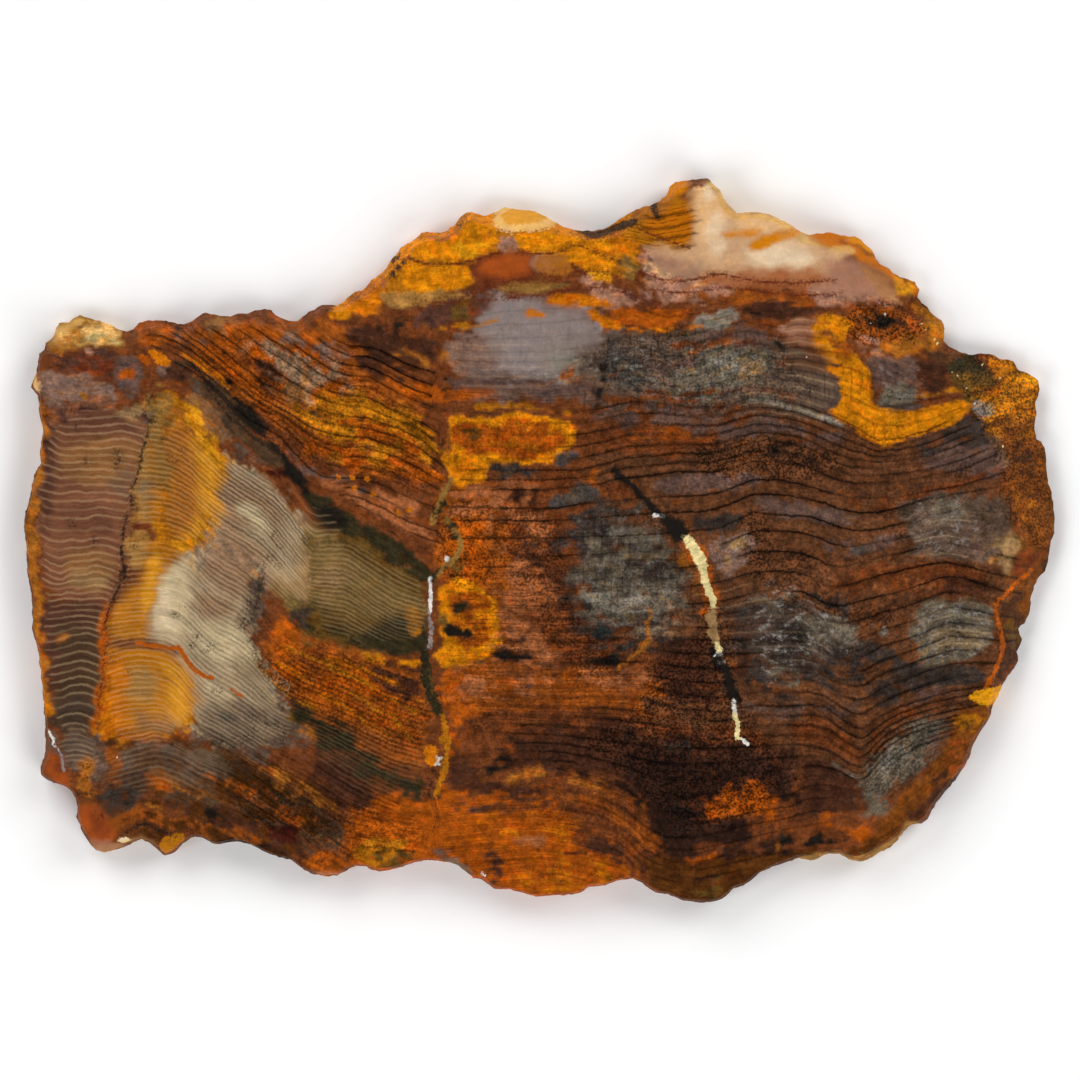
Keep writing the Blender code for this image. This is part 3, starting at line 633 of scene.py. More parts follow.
orange 5 0.9: 544,297 580,296 609,302 609,310 560,310 546,304
orange 5 0.9: 587,310 606,314 626,326 610,330 594,322
orange 3 0.9: 523,312 544,311 546,318 526,320
burnt 8 0.9: 609,308 650,312 690,306 690,324 640,330 612,324
band orange 4 4 0.8: 609,324 640,330 676,330 700,322
bright_rust 12: 842,306 902,304 930,330 920,344 850,342
near_black 12 0.5: 850,312 900,314 912,332 856,330
rose 14 0.6: 852,334 886,336 890,364 858,370
mauve_rust 16: 862,360 916,354 926,386 868,394
cloud 8: 874,386 916,382 916,404 878,410
amber 8 0.8: 880,338 930,336 930,350 884,356
dark_rust 14 0.8: 912,354 946,352 950,388 920,390
gold 10 0.5: 902,300 938,308 948,346 922,350
band gold 5 4 0.8: 916,396 940,393 976,388
charcoal 6 0.8: 872,404 930,400 928,412 880,414
charcoal 10 0.8: 940,424 976,412 1000,430 980,450 940,440
ochre 9 0.7: 818,316 850,314 856,344 856,368 836,374 818,350 816,332
burnt 12 0.3: 826,318 850,322 856,352 840,364 826,340
ochre 5 0.95: 836,362 864,362 868,394 876,408 904,412 944,404 974,396 974,412 944,430 908,442 880,446
    862,434 848,422 832,416 842,404 838,388
yellow 5 0.35: 848,374 862,380 866,402 880,414 920,414 900,424 872,426 856,408
band orange 4 4 0.6: 834,412 850,424 868,438 890,446 910,442
band ochre 3 3 0.5: 846,420 860,428 880,438
dark_olive 10 0.8: 938,350 986,358 990,392 968,396 946,380
olive 10 0.6: 950,366 1000,366 1006,420 976,416 956,390
gold 8: 980,352 1016,358 1040,382 1038,398 1010,384 986,374
yellow 5 0.7: 1012,372 1028,370 1038,382 1036,392 1014,390
gold 12 0.8: 976,380 1046,392 1040,436 1000,446 978,410
lilac 6 0.8: 972,400 994,404 992,420 976,414
rim_brown 12 0.8: 990,414 1036,408 1046,450 1004,450
""")

# Minerals with sharp edges, over the wood. The small white quartz spots, mostly on the rough rind at the
# top right and a few over the face, are painted glints: highlights painted into the colour
INLAY = read_marks("""
orange 2: 146,348 156,350 168,358 172,366 160,366 150,356
deep_orange 2: 138,354 148,356 154,366 142,364
band deep_orange 5 1.5: 180,648 187,660 195,671 204,676 213,677
band deep_orange 4 1.5: 136,642 146,644 158,646 176,649
deep_orange 2: 228,688 236,690 246,698 238,698
band deep_orange 4 2: 1030,572 1016,584 1002,596 994,608 998,622 1003,640 1000,660 996,672 986,688
yellow 3: 966,698 980,690 1004,686 1000,706 990,708 976,704
gold 2: 160,842 172,834 182,832 186,840 172,852 164,856 158,850
milk 2: 117,840 126,836 130,841 122,846
peach 4: 487,219 500,204 526,202 548,211 558,224 540,231 520,233 500,231
honey 1.2: 495,216 506,208 526,206 544,213 548,221 536,226 518,228 502,225
band vein_cream 3 1: 682,535 690,538
band vein_cream 11 2: 690,541 697,552 701,566
band vein_cream 8 2: 701,566 704,580 708,592
band milk 3 1: 694,546 699,560 702,576 706,590
band vein_cream 6 1.5: 706,588 711,597 713,606
band tan 10 2.5: 712,614 712,628 715,640
band vein_cream 5 2: 711,616 712,630 715,646 720,651
band quartz 4 1.5: 715,655 720,655
band lilac 4 1.5: 720,663 725,662
band quartz 4 1.5: 733,701 734,708 736,716
band vein_cream 5 1.5: 735,714 738,724 737,738
band quartz 4 1: 742,740 747,745
band quartz 4 1: 654,515 664,516
band quartz 4 1: 430,578 432,596 430,612
band lilac 4 1.5: 429,612 432,630 429,648
spots quartz 5 1.5: 448,558 440,759 437,764 484,874
band olive_gold 6 2: 452,478 446,490 440,502 435,514 433,524
band olive_gold 6 2: 448,520 456,532 463,546 456,558 446,566 437,574
spots dark_olive 9 2.5: 441,504 438,510 452,526 457,536
band dark_olive 6 2.5: 446,567 436,573 431,579
band dark_olive 10 3 0.9: 424,656 426,680 434,700 438,712
band olive 4 2: 426,664 431,684 436,698 440,712
band gold 5 2.5 0.7: 442,716 445,730 442,742
band gold 6 3 0.75: 448,738 446,760 441,778 436,794
orange 3: 424,746 438,744 438,768 426,766
spots orange 6 2: 338,477 352,478 354,488 366,479 372,494 398,512 409,510
spots quartz 2.5 1: 807,246 919,325 928,323 925,331 934,340 937,345 952,372 958,376 998,380 980,366
    1003,446 117,756 633,644 806,357 884,314 902,318 870,322 944,362 966,388 975,404 990,420 642,232
band quartz 3 1: 47,731 51,738 57,750
band lilac 3 1: 57,750 62,760 64,772
""")

# Manganese black: cracks, specks and the rim's dark crust
BLACK = read_marks("""
band black 4 2: 192,364 204,376 218,392 230,406 242,420 258,431 274,443 290,464 304,484
band black 3.5 2: 214,398 228,416 244,430 262,444 278,452
band black 3.5 1.5: 150,420 147,434 143,450 141,466 136,478 132,490 130,500
band black 3.5 1.5: 127,514 123,535 121,556 123,570 118,592 110,602 107,616 105,630
band black 1.5 1.5: 105,630 107,645 103,662 101,690 99,712
band black 5 2.5: 124,566 125,580
spots black 5 2.5: 146,416 152,420 143,414 117,454 116,464 119,459 132,504 94,540 152,393 149,399
    140,466
spots black 3 2: 76,426 75,411 66,411 83,408 86,461 170,458 176,462 182,452 205,438 72,522 72,526
    134,546 122,556 200,638 208,644 211,650 177,615 182,607 213,690 113,658 126,672 110,650 197,636
    206,650 214,644 220,690 192,646
band black 2.5 3: 262,566 262,580 260,596 254,612 246,628
band black 2 3: 250,600 246,616 240,626
band black 3 3: 256,640 254,652 262,668 276,678 286,692 300,700
spots black 3 2.5: 274,535 278,545 273,560 277,566 268,556 264,622 258,632 250,640 262,652 272,664
band black 2 3: 264,722 282,726 284,744
spots black 3 3: 222,744 236,740 246,738 256,730 268,726 250,716
band black 4 1.5: 616,470 630,484 640,494 652,508
black 3: 655,508 666,512 684,522 692,534 682,540 670,534 660,522
band black 2 2.5: 640,490 648,512 656,526
band black 7 2: 718,656 725,668 730,682 734,696
band black 3 2.5: 722,690 732,702
band black 2 1.5: 708,608 722,609
spots black 5 3: 502,650 512,646 520,652 450,628 460,634 468,636 424,654 426,660
band black 3 2.5: 434,508 436,518
band black 3 2.5: 448,524 452,536
band black 3 2.5: 430,688 440,696
band black 3 3: 428,650 420,668 424,690 432,704
band black 3 2.5: 434,770 430,784 428,796
band black 2 1.5: 436,796 437,814 435,830
spots black 8 2: 390,262 398,268 392,274 404,262 396,258
spots black 4 2.5: 353,299 358,297 351,296 460,226 466,223 455,227 392,274
band black 9 2.5: 574,229 590,237 606,233 618,227 634,222
band black 8 2.5: 650,207 656,216
band black 2 2: 624,286 638,296 648,304 656,308
band black 4 3: 376,326 384,332
spots black 3 2.5: 778,338 782,348 786,352 822,312 830,317 776,344 770,336
spots black 5 3: 958,476 970,466 962,470 902,537
spots black 4 2.5: 870,328 888,332 856,316 946,370 972,372 1004,392 1020,420 978,404 1016,592 1008,606
    956,362 964,376 984,374 944,386 880,396 890,392 898,398
band black 2 2.5: 792,740 790,760 788,800
band black 5 3: 126,832 138,824 148,824 158,830 172,836
band black 3 2.5: 186,826 198,834
band black 3 2.5: 78,793 92,794
band black 2 2: 80,765 90,767
band black 2 2: 80,777 92,779
spots black 5 3: 322,860 246,838 101,815 480,728 478,770
spots black 3 2: 574,864 595,876 544,876 610,878 622,876 556,868 500,832 540,848 562,880 530,870 490,846
band black 2 2: 56,356 66,359
band red 3 1.5: 410,258 430,266 450,264 472,262 500,252
band red 3 1.5: 516,252 550,256 576,244 590,250 620,262
band red 4 4 0.8: 419,304 451,301 487,288 519,279 557,277 587,270 616,276
band red 3 2: 417,304 496,300 553,293 587,288 621,290 643,300 659,306
band red 3 1.5: 636,228 660,238 690,248
band red 3.5 1.5: 640,272 660,280 690,282 720,272 744,280 790,284 836,280
band red 3 1.5: 650,290 690,294 726,286 760,292 800,296 840,294
""")

# Left and right of the crack and of the middle vein the rings don't meet
CRACK = read_points(
    "150,300 150,415 143,450 133,485 127,515 121,556 122,580 109,600 105,630 108,655 100,690 95,745 88,860"
)
MIDDLE_VEIN = read_points(
    "470,200 446,330 436,400 446,440 450,470 437,510 447,545 430,575 430,650 425,665 434,700 441,750 "
    "434,800 436,880"
)

# The growth rings, as guide lines drawn along them from the top down. Each line starts with its ring
# number: pale rings lie on whole numbers and dark ones halfway between.
LEFT_RINGS = read_rings("""
-10: 20,330 150,330
0: 35,408 50,412 58,417 66,420 80,419 100,418 112,417 124,416 140,420 160,424
3: 35,424 48,430 56,438 62,442 80,441 100,442 120,438 134,441 145,446 160,446
7: 35,462 50,466 60,470 80,469 100,469 120,471 140,474
10: 30,486 44,490 56,494 66,493 76,491 86,493 100,492 112,493 126,495 140,495
13: 30,508 46,516 60,518 80,519 88,518 95,515 105,515 116,518 130,519
14: 26,516 40,524 50,530 62,531 76,530 86,531 95,528 106,528 118,531 130,532
15: 26,528 42,537 52,541 60,542 70,540 80,541 88,540 95,538 105,538 120,542
18: 28,548 40,556 50,563 60,567 70,562 85,561 97,559 110,562 120,566
20: 28,562 40,570 52,577 60,580 70,575 85,575 97,571 110,576 120,581
24: 30,594 42,600 52,601 66,598 80,600 94,598 104,598 114,602
27: 32,618 50,619 66,617 80,615 95,617 106,620
30: 34,642 50,642 62,639 76,634 88,633 96,636 106,641
33: 36,668 52,667 66,664 80,660 90,662 100,667
37: 40,700 60,698 70,694 80,692 88,693 98,698
40: 44,730 60,727 70,723 80,724 90,729 98,734
47: 50,764 66,761 80,760 96,764
60: 50,860 96,860
""")
MIDDLE_RINGS = read_rings("""
-24: 90,200 200,240 300,280 350,300 400,304 450,304
-19: 90,240 190,268 240,292 280,312 310,328 335,345 350,351 370,352 385,358 400,367 420,376 450,384
-15: 90,268 190,298 240,322 265,340 290,356 312,374 330,386 350,391 367,391 385,402 402,411 425,420
    445,432
-12: 95,300 130,312 160,320 185,330 205,344 225,360 245,377 262,391 285,402 310,414 345,421 370,424
    400,433 420,443 440,460 450,468
-7: 95,335 130,345 150,349 175,356 195,369 215,385 232,400 250,412 268,420 285,431 300,446 312,460
    328,470 345,473 362,471 380,476 400,484 425,497 450,505
-6: 95,352 130,356 160,362 180,370 200,380 220,394 235,415 250,428 268,438 280,446 292,462 305,478
    320,486 345,483 362,485 380,493 405,505 430,513 450,520
0: 95,400 130,402 160,404 185,412 205,428 222,448 240,463 262,478 275,485 290,500 302,518 314,532
    330,530 348,530 365,540 385,552 405,566 430,578 450,582
10: 95,455 125,455 150,455 170,458 190,470 205,485 222,497 240,508 262,520 280,541 295,560 310,577
    345,578 360,588 375,600 395,612 425,619 450,622
22: 95,520 125,519 150,517 165,518 180,523 195,531 207,545 222,556 240,566 258,580 275,595 290,608
    305,620 325,629 345,634 365,644 385,653 410,662 430,668 450,672
38: 95,600 125,600 150,598 165,598 180,601 192,611 203,623 215,634 235,644 250,656 262,670 275,684
    290,694 310,703 340,714 365,726 390,738 430,750 450,752
50: 95,660 112,655 125,651 140,649 155,651 170,655 180,663 190,676 203,690 220,700 240,713 262,728
    280,738 300,744 320,753 340,766 370,784 400,798 450,805
60: 95,716 103,712 112,708 125,705 140,704 155,703 165,706 175,714 185,725 200,736 220,746 240,757
    262,771 290,790 320,812 350,832 450,846
70: 95,762 110,757 125,752 140,748 155,744 170,746 185,753 200,762 220,771 240,781 262,797 290,816
    320,838 350,858 450,876
78: 95,802 125,796 145,790 160,789 180,797 200,808 225,819 250,832 290,852 350,888 450,906
83: 95,842 120,828 142,812 160,819 175,828 190,822 205,834 250,856 350,910 450,930
95: 95,900 450,980
""")
RIGHT_RINGS = read_rings("""
-12.5: 430,190 560,190 700,150 1060,190
0.5: 430,306 480,303 500,298 560,294 580,290 600,286 620,287 640,297 655,307 680,306 700,303 720,300
    740,293 752,294 770,297 800,292 830,291 870,305 930,335 1060,360
4.5: 430,346 480,352 540,352 560,350 600,345 620,338 640,336 655,340 668,347 690,345 720,336 745,331
    760,333 780,338 800,335 820,338 850,341 880,350 930,370 1060,376
10.5: 430,410 490,411 560,412 590,410 605,407 630,402 660,403 690,407 720,407 750,398 770,399 800,405
    820,412 840,419 858,428 875,440 900,439 930,430 960,415 1000,400 1060,392
15.5: 430,470 480,470 540,470 580,470 605,464 625,458 650,456 680,453 710,454 735,447 760,441 790,443
    812,450 830,460 848,467 870,468 900,466 930,462 960,452 1000,435 1060,425
17.5: 430,490 500,489 540,490 560,488 580,485 600,484 620,478 645,476 660,474 680,471 710,472 730,468
    750,461 775,461 800,464 818,471 835,479 852,483 880,483 905,480 940,474 965,468 1000,452 1060,440
18.5: 430,506 500,508 540,509 560,508 580,504 600,502 620,501 640,498 660,497 700,496 722,492 737,486
    752,480 775,480 800,484 820,490 840,496 862,499 900,497 920,493 960,486 990,477 1030,465 1060,460
19.5: 430,520 500,520 540,521 580,519 600,517 640,514 660,513 680,512 700,512 720,508 737,501 750,495
    765,494 785,495 805,498 822,502 840,509 860,513 880,512 900,507 920,500 960,493 990,488 1020,485
    1060,485
20.5: 430,538 500,538 560,538 590,536 620,536 640,535 670,533 700,530 720,528 737,520 752,512 780,515
    812,517 826,522 840,528 858,531 880,529 900,524 930,515 960,510 1000,512 1060,515
21.5: 430,560 500,558 560,556 600,554 640,552 680,552 720,545 740,537 755,531 785,531 805,533 818,537
    832,544 847,547 862,545 880,541 905,538 930,530 945,527 960,530 1000,535 1060,545
22.5: 430,575 500,576 560,574 600,570 640,568 680,568 720,562 750,552 775,551 800,553 815,558 828,565
    843,567 858,563 880,557 905,552 930,545 945,543 960,546 1000,555 1060,570
23.5: 430,592 500,592 520,594 560,590 600,588 640,586 680,588 720,582 750,573 775,571 800,573 813,578
    826,586 840,587 855,583 880,575 900,571 925,565 945,562 965,566 1000,575 1060,590
24.5: 430,606 500,607 540,609 600,606 650,603 700,604 730,600 755,592 780,590 800,591 813,596 826,604
    840,606 857,602 880,596 900,592 920,585 942,577 960,577 1000,590 1060,605
27.5: 430,640 500,640 560,642 600,640 650,636 700,640 740,640 775,640 800,640 820,648 840,660 862,657
    885,645 905,640 930,630 950,622 975,625 1000,630 1060,640
32.5: 430,690 500,696 540,698 600,697 640,699 680,709 720,712 760,705 790,707 810,704 828,708 840,718
    855,728 865,728 880,717 900,707 930,697 960,690 1000,685 1060,680
36.5: 430,735 500,733 560,735 600,740 640,745 680,748 720,748 760,746 790,744 812,746 828,750 840,757
    852,765 862,768 872,757 885,742 905,730 930,722 960,715 1000,705 1060,700
40.5: 430,780 480,772 540,768 570,770 600,779 625,788 642,802 660,812 690,812 720,808 750,800 790,795
    810,785 830,785 850,790 865,792 880,775 900,757 920,745 950,735 1000,720 1060,715
44.5: 430,812 480,808 540,806 570,810 600,815 625,830 645,850 670,862 700,862 740,852 790,840 830,835
    860,838 890,820 920,790 950,765 1000,740 1060,735
48.5: 430,850 480,845 540,842 580,850 620,860 640,880 700,895 760,885 830,870 870,865 900,850 940,815
    1000,770 1060,760
54.5: 430,900 560,888 640,910 700,930 830,910 1060,880
""")

# How strongly the dark rings, the pale rings, the fine rings between them, the cells' dark speckle
# and the streaks along the grain show in each place
DARK_RINGS = read_marks("""
0.75 16: 450,390 1000,400 1020,560 1000,700 860,800 560,780 452,700
0.35 20: 560,540 690,540 690,660 600,666
0.45 20: 455,560 600,560 640,700 460,740
1.0 14: 650,492 740,484 760,474 840,490 905,492 905,530 840,536 760,520 655,516
0.95 14: 760,525 900,535 960,540 965,585 840,612 770,600
0.9 10: 452,480 560,482 640,474 740,462 740,500 640,512 452,526
0.4 16: 600,300 860,320 840,410 620,404
0.15 16: 450,300 600,300 620,404 450,392
0.2 16: 900,500 1010,500 1010,560 910,560
0.3 20: 740,600 850,610 870,690 760,690
0.5 20: 560,780 800,760 860,800 700,900 600,860
0.75 14: 130,330 250,320 345,340 440,360 446,500 430,560 330,486 262,430 180,360
0.95 8: 340,345 400,350 450,376 450,400 400,394 342,388
0.5 14: 262,650 425,668 428,790 300,740
0.5 18: 240,750 430,790 350,840 270,830 190,770
0.6 10: 436,480 500,484 500,540 440,540
0.25 10: 436,414 576,412 560,466 440,480
0.3 10: 440,580 500,580 500,664 440,668
0.7 8: 640,204 700,204 700,250 640,244
0.3 12: 444,816 570,810 632,870 560,890 444,860
0.35 8: 820,340 962,400 960,416 876,441 836,416
0.5 12: 222,456 262,476 302,520 310,570 262,560 220,540 206,500
0.3 12: 190,550 256,566 250,620 262,680 286,712 286,745 196,745 190,640
0.25 12: 150,400 222,430 216,540 150,560
0.3 12: 306,530 380,556 428,590 426,640 330,640 310,600
""")
PALE_RINGS = read_marks("""
0.6 8: 44,412 148,412 142,450 124,540 118,592 104,604 98,720 86,734 56,732 50,640 40,560
0.4 10: 56,728 96,732 100,770 60,766
0.5 10: 128,540 196,546 200,640 190,740 106,745 108,610 122,560
0.45 10: 150,420 166,424 165,520 132,530 140,460
0.4 10: 166,424 200,440 220,480 196,545 166,530
0.6 12: 222,456 262,476 302,520 310,600 270,594 262,560 220,540 206,500
0.45 14: 196,546 256,580 248,630 262,680 286,712 286,745 196,745 190,640
0.32 12: 306,530 380,556 428,590 426,640 330,640 310,600
0.12 12: 300,710 425,740 430,790 330,790
0.25 12: 106,745 200,745 240,770 180,790 110,790
0.5 8: 780,318 822,320 838,415 790,410
0.35 12: 720,380 800,384 842,420 740,412
0.55 10: 920,508 965,508 975,560 920,560
0.6 10: 925,604 992,604 990,648 925,650
0.25 12: 640,560 800,600 850,660 760,660
0.3 10: 455,332 540,334 540,400 455,392
0.5 8: 296,500 306,500 350,530 306,540
""")
FINE_RINGS = read_marks("""
0.6 14: 345,802 560,796 632,866 600,890 480,890 345,880
0.9 6: 624,226 650,206 692,196 696,240 660,252 630,246
0.4 10: 44,412 148,412 142,450 124,540 118,592 104,604 98,720 56,732 40,560
0.35 12: 150,400 222,430 262,476 310,540 262,600 262,680 200,740 106,740 122,560
0.8 20: 455,555 570,560 600,660 700,700 700,740 460,740
0.6 20: 780,690 866,720 862,780 790,760
0.6 20: 560,740 700,750 760,800 640,840 570,790
0.5 16: 600,404 740,410 740,460 600,462
0.5 20: 560,520 690,510 690,640 570,640
0.6 16: 452,380 600,384 600,410 452,412
0.5 12: 820,420 900,440 900,490 820,480
0.5 20: 240,760 430,800 430,850 300,850
0.5 20: 860,660 990,660 960,760 860,800
""")
SPECKLE = read_marks("""
0.35 30: 440,400 1000,400 1000,700 860,800 640,880 450,780
0.75 20: 500,500 560,512 560,600 620,660 590,690 540,620 500,560
0.9 20: 680,600 735,610 740,720 800,760 780,800 680,850 640,780 560,740 640,720 650,650
0.9 16: 690,444 800,436 860,470 800,484 700,470
0.9 16: 740,510 770,516 790,590 750,590
0.7 20: 770,540 820,560 820,600 900,600 890,630 830,620 770,600
0.5 16: 580,560 700,560 700,660 600,666
0.6 16: 640,330 760,340 850,400 700,410 600,390 580,350
0.5 16: 180,330 300,340 400,390 440,430 440,500 340,480 230,410
0.6 14: 266,640 330,650 425,672 430,760 330,730 270,680
0.75 10: 436,500 500,500 500,590 440,590
0.35 8: 440,414 576,412 576,464 440,484
0.8 12: 930,346 1010,350 1046,400 1050,560 1010,540 990,430
0.9 12: 840,306 910,302 930,330 920,346 850,344
0.6 16: 870,730 950,726 900,790 864,808
0.05 12: 500,300 560,300 600,330 560,350 500,340
0.15 14: 740,496 850,506 860,524 760,510
0.5 20: 200,770 430,820 430,860 280,850
""")
STREAKS = read_marks("""
0.5 30: 0,180 1080,180 1080,920 0,920
1.0 16: 130,320 345,320 440,400 440,500 300,480 200,370
0.1 10: 630,170 860,220 910,300 840,290 700,290 640,260
0.1 6: 484,214 502,200 548,206 562,226 540,236 500,236
0.12 12: 470,252 572,250 576,284 470,288
0.12 16: 474,310 500,294 550,294 606,320 600,352 560,370 480,370
0.9 20: 880,500 1010,500 1000,680 880,780 760,690 760,600
1.0 20: 150,750 300,770 430,820 400,860 280,850
""")

# Where pale wisps of agate and dark rays across the rings show
WISPS = read_marks("""
0.9 16: 752,588 790,586 800,606 856,612 858,656 820,660 790,660 770,690 752,660
0.4 20: 572,560 640,552 684,570 682,626 640,640 590,612
0.7 12: 910,500 965,496 980,530 950,560 914,556
0.8 12: 912,620 950,600 992,606 994,656 930,664
0.35 14: 862,804 872,776 898,738 926,726 950,722 946,744 915,768 892,796
0.6 12: 604,340 700,340 760,344 770,390 700,404 640,400
0.3 16: 560,506 660,506 660,560 566,566
0.8 8: 836,764 856,774 866,782 852,782
0.5 12: 712,540 756,530 752,570 718,584
0.35 14: 480,330 600,330 600,380 520,400 480,390
0.4 12: 870,360 930,356 930,410 874,410
""")
RAYS = read_marks("""
0.7 20: 560,330 840,330 846,420 560,420
0.2 16: 480,320 600,320 600,400 480,400
0.6 16: 560,500 690,500 690,600 560,620
0.6 8: 838,366 868,366 900,420 880,444 840,416
0.5 8: 444,416 576,416 560,466 446,486
0.3 20: 620,740 800,740 780,880 640,880
""")

# The rings' mean distances in pixels, left of the middle vein and right of it
LEFT_PITCH, RIGHT_PITCH = 8.5, 13.0
# Guide lines are smoothed over this many pixels, and the distance between two rings stays in a range
GUIDE_SMOOTHING_PX = 13
PITCH_RANGE_PX = (2.0, 30.0)
# The distance from the crack and from the middle vein is kept up to this many pixels
SIDE_REACH_PX = 20.0

# The noise that breaks up painted edges: its layers, and the widths and heights of its lumps in pixels
FEATHER_LAYERS = 7
STREAK_PX, FINE_STREAK_PX = (24, 6), (9, 3.5)
LUMP_PX, FINE_LUMP_PX = (14, 14), (5.5, 5.5)
# The noise that moves drawn edges: the sizes of its lumps, and how far it moves the edges, in pixels
TEETH_PX, TEETH_MOVE_PX = (60, 9), 4.0
WAVE_PX, WAVE_MOVE_PX = (17, 17), 3.0
RIPPLE_PX, RIPPLE_MOVE_PX = (6, 6), 1.5
# The share of the painted edges' wandering that veins and cracks take part in
VEIN_WANDER = 0.3
# How many knots the noise has along each side before it repeats
NOISE_KNOTS = 256

# How wide the soft part is of a painted edge that noise has broken up, and how much wider in smooth agate
GRAIN_SOFTNESS = 0.45
AGATE_SOFTNESS = 2.5
# Inlaid minerals and black lines are looked for this many pixels from their edges, and how deep a place
# lies in them is kept up to as many widths of their soft edges
EDGE_REACH_PX = 14.0

# Points of the solid closer than this are one point
WELD_GAP = 1e-7
# The even points of a flat side keep this share of their spacing from its border
BORDER_GAP = 0.6
# The rind's pits fade out this close to the face and the back, and finer pits are added to the main ones
PIT_FADE = 0.0004
PIT_GAIN = 1.6
FINE_PIT_SCALE, FINE_PIT_SHARE = 2.3, 0.5

RING_CREAM = "c8aa80"
WISP_GREY = "a8a29a"
# What the colour is multiplied by in warm and cool patches and in bright cells, and on the rind as painted
# light that brightens and warms its sloping sides
WARM_TINT = (1.3, 1.0, 0.6)
COOL_TINT = (0.72, 0.78, 0.9)
CELL_TINT = (1.75, 1.45, 1.1)
RIND_PAINTED_LIGHT_TINT = (1.28, 1.24, 0.8)
# The rings' slow wander and quick flutter, in pixels either way
WANDER_PX, FLUTTER_PX = 1.5, 0.7
# How far the rims of inlaid minerals are frayed either way, in widths of their edges
FRAY = 2.0
# How many lumps or saw marks there are to a metre
POLISH_WAVES, RIND_LUMPS, RIND_FACETS, SAW_MARKS = 900.0, 1500.0, 2600.0, 420.0

# The soft lights' angles round the slab in degrees, and their places and size in metres
LIGHT_ANGLES = (35, 125, 215, 305)
LIGHT_DISTANCE, LIGHT_HEIGHT, LIGHT_SIZE = 2.0, 1.9, 1.6
SKY_STRENGTH = 0.05
CAMERA_CLIP = (0.1, 100.0)


def linear_rgb(code):
    """The linear colour of a six-digit colour code."""
    values = [int(code[i:i + 2], 16) / 255 for i in (0, 2, 4)]
    return tuple(v / 12.92 if v < 0.04045 else ((v + 0.055) / 1.055) ** 2.4 for v in values)


def rgba(code):
    """A colour code as a socket's value."""
    return (*linear_rgb(code), 1.0)


class StoneColours(bpy.types.PropertyGroup):
    """The colours of the slab's minerals."""


for paint_name, (colour_code, meaning) in PALETTE.items():
    StoneColours.__annotations__[paint_name] = FloatVectorProperty(
        name=paint_name.replace("_", " ").capitalize(),
        description=meaning.capitalize(),
        default=linear_rgb(colour_code),
        size=3,
        min=0.0,
        max=1.0,
        subtype="COLOR",
    )


class StoneSizes(bpy.types.PropertyGroup):
    """The sizes of the slab's fine surface."""

    face_spacing: FloatProperty(
        name="Face spacing",
        description="Distance between the points that carry the face's colours",
        default=0.00042,
        unit="LENGTH",
    )
    back_spacing: FloatProperty(
        name="Back spacing",
        description="Distance between the points that carry the back's colours",
        default=0.0012,
        unit="LENGTH",
    )
    rind_cuts: IntProperty(
        name="Rind cuts",
        description="How often each edge of the rind is cut for its fine roughness",
        default=1,
    )
    rind_depth: FloatProperty(
        name="Rind depth",
        description="Depth of the rind's fine pits",
        default=0.00022,
        unit="LENGTH",
    )
    rind_grain: FloatProperty(
        name="Rind grain",
        description="Width of the rind's fine lumps",
        default=0.0011,
        unit="LENGTH",
    )


class StudioSettings(bpy.types.PropertyGroup):
    """The floor, the light and the camera."""

    camera_height: FloatProperty(
        name="Camera height",
        description="Height of the camera above the polished face",
        default=1.5,
        unit="LENGTH",
    )
    floor_size: FloatProperty(
        name="Floor size",
        description="Side of the pale floor",
        default=24.0,
        unit="LENGTH",
    )
    floor_colour: FloatVectorProperty(
        name="Floor colour",
        description="Colour of the pale floor",
        default=(0.92, 0.92, 0.92),
        size=3,
        subtype="COLOR",
    )
    light_power: FloatProperty(
        name="Light power",
        description="Power of each soft light",
        default=32.0,
        unit="POWER",
    )


def photo_place(x, y):
    """The photograph's pixel of a place on the slab."""
    return x / METRES_PER_PX + SLAB_MIDDLE_PX[0], SLAB_MIDDLE_PX[1] - y / METRES_PER_PX


def noise_field(x, y, size, seed):
    """Smooth noise from -1 to 1 at each place, with lumps of the given width and height."""
    knots = np.random.default_rng(seed).uniform(-1.0, 1.0, (NOISE_KNOTS, NOISE_KNOTS))
    x, y = x / size[0], y / size[1]
    left, top = np.floor(x).astype(int), np.floor(y).astype(int)
    across, down = x - left, y - top
    across, down = across * across * (3 - 2 * across), down * down * (3 - 2 * down)
    left, top = left % (NOISE_KNOTS - 1), top % (NOISE_KNOTS - 1)
    upper = knots[top, left] * (1 - across) + knots[top, left + 1] * across
    lower = knots[top + 1, left] * (1 - across) + knots[top + 1, left + 1] * across
    return upper * (1 - down) + lower * down


def feather_layers(x, y, depth):
    """Layers of noise from 0 to 1 that break up painted edges, half of it drawn out along the rings."""
    layers = []
    for seed in range(FEATHER_LAYERS):
        streaks = noise_field(x, depth, STREAK_PX, seed)
        streaks = streaks + 0.6 * noise_field(x, depth, FINE_STREAK_PX, seed + 20)
        lumps = noise_field(x, y, LUMP_PX, seed + 40)
        lumps = lumps + 0.7 * noise_field(x, y, FINE_LUMP_PX, seed + 60)
        order = (streaks + lumps).argsort().argsort()
        layers.append(order / len(order))
    return layers


def swaying(x, y, wave_seed, ripple_seed):
    """How far waves and ripples move each place in one direction, in pixels."""
    waves = WAVE_MOVE_PX * noise_field(x, y, WAVE_PX, wave_seed)
    return waves + RIPPLE_MOVE_PX * noise_field(x, y, RIPPLE_PX, ripple_seed)


def wandered(x, y, depth, share):
    """The places moved a little, so that drawn edges get the teeth and waves of real mineral edges."""
    teeth = TEETH_MOVE_PX * noise_field(x, depth, TEETH_PX, 103)
    return x + share * (swaying(x, y, 101, 102) + teeth), y + share * swaying(x, y, 104, 105)


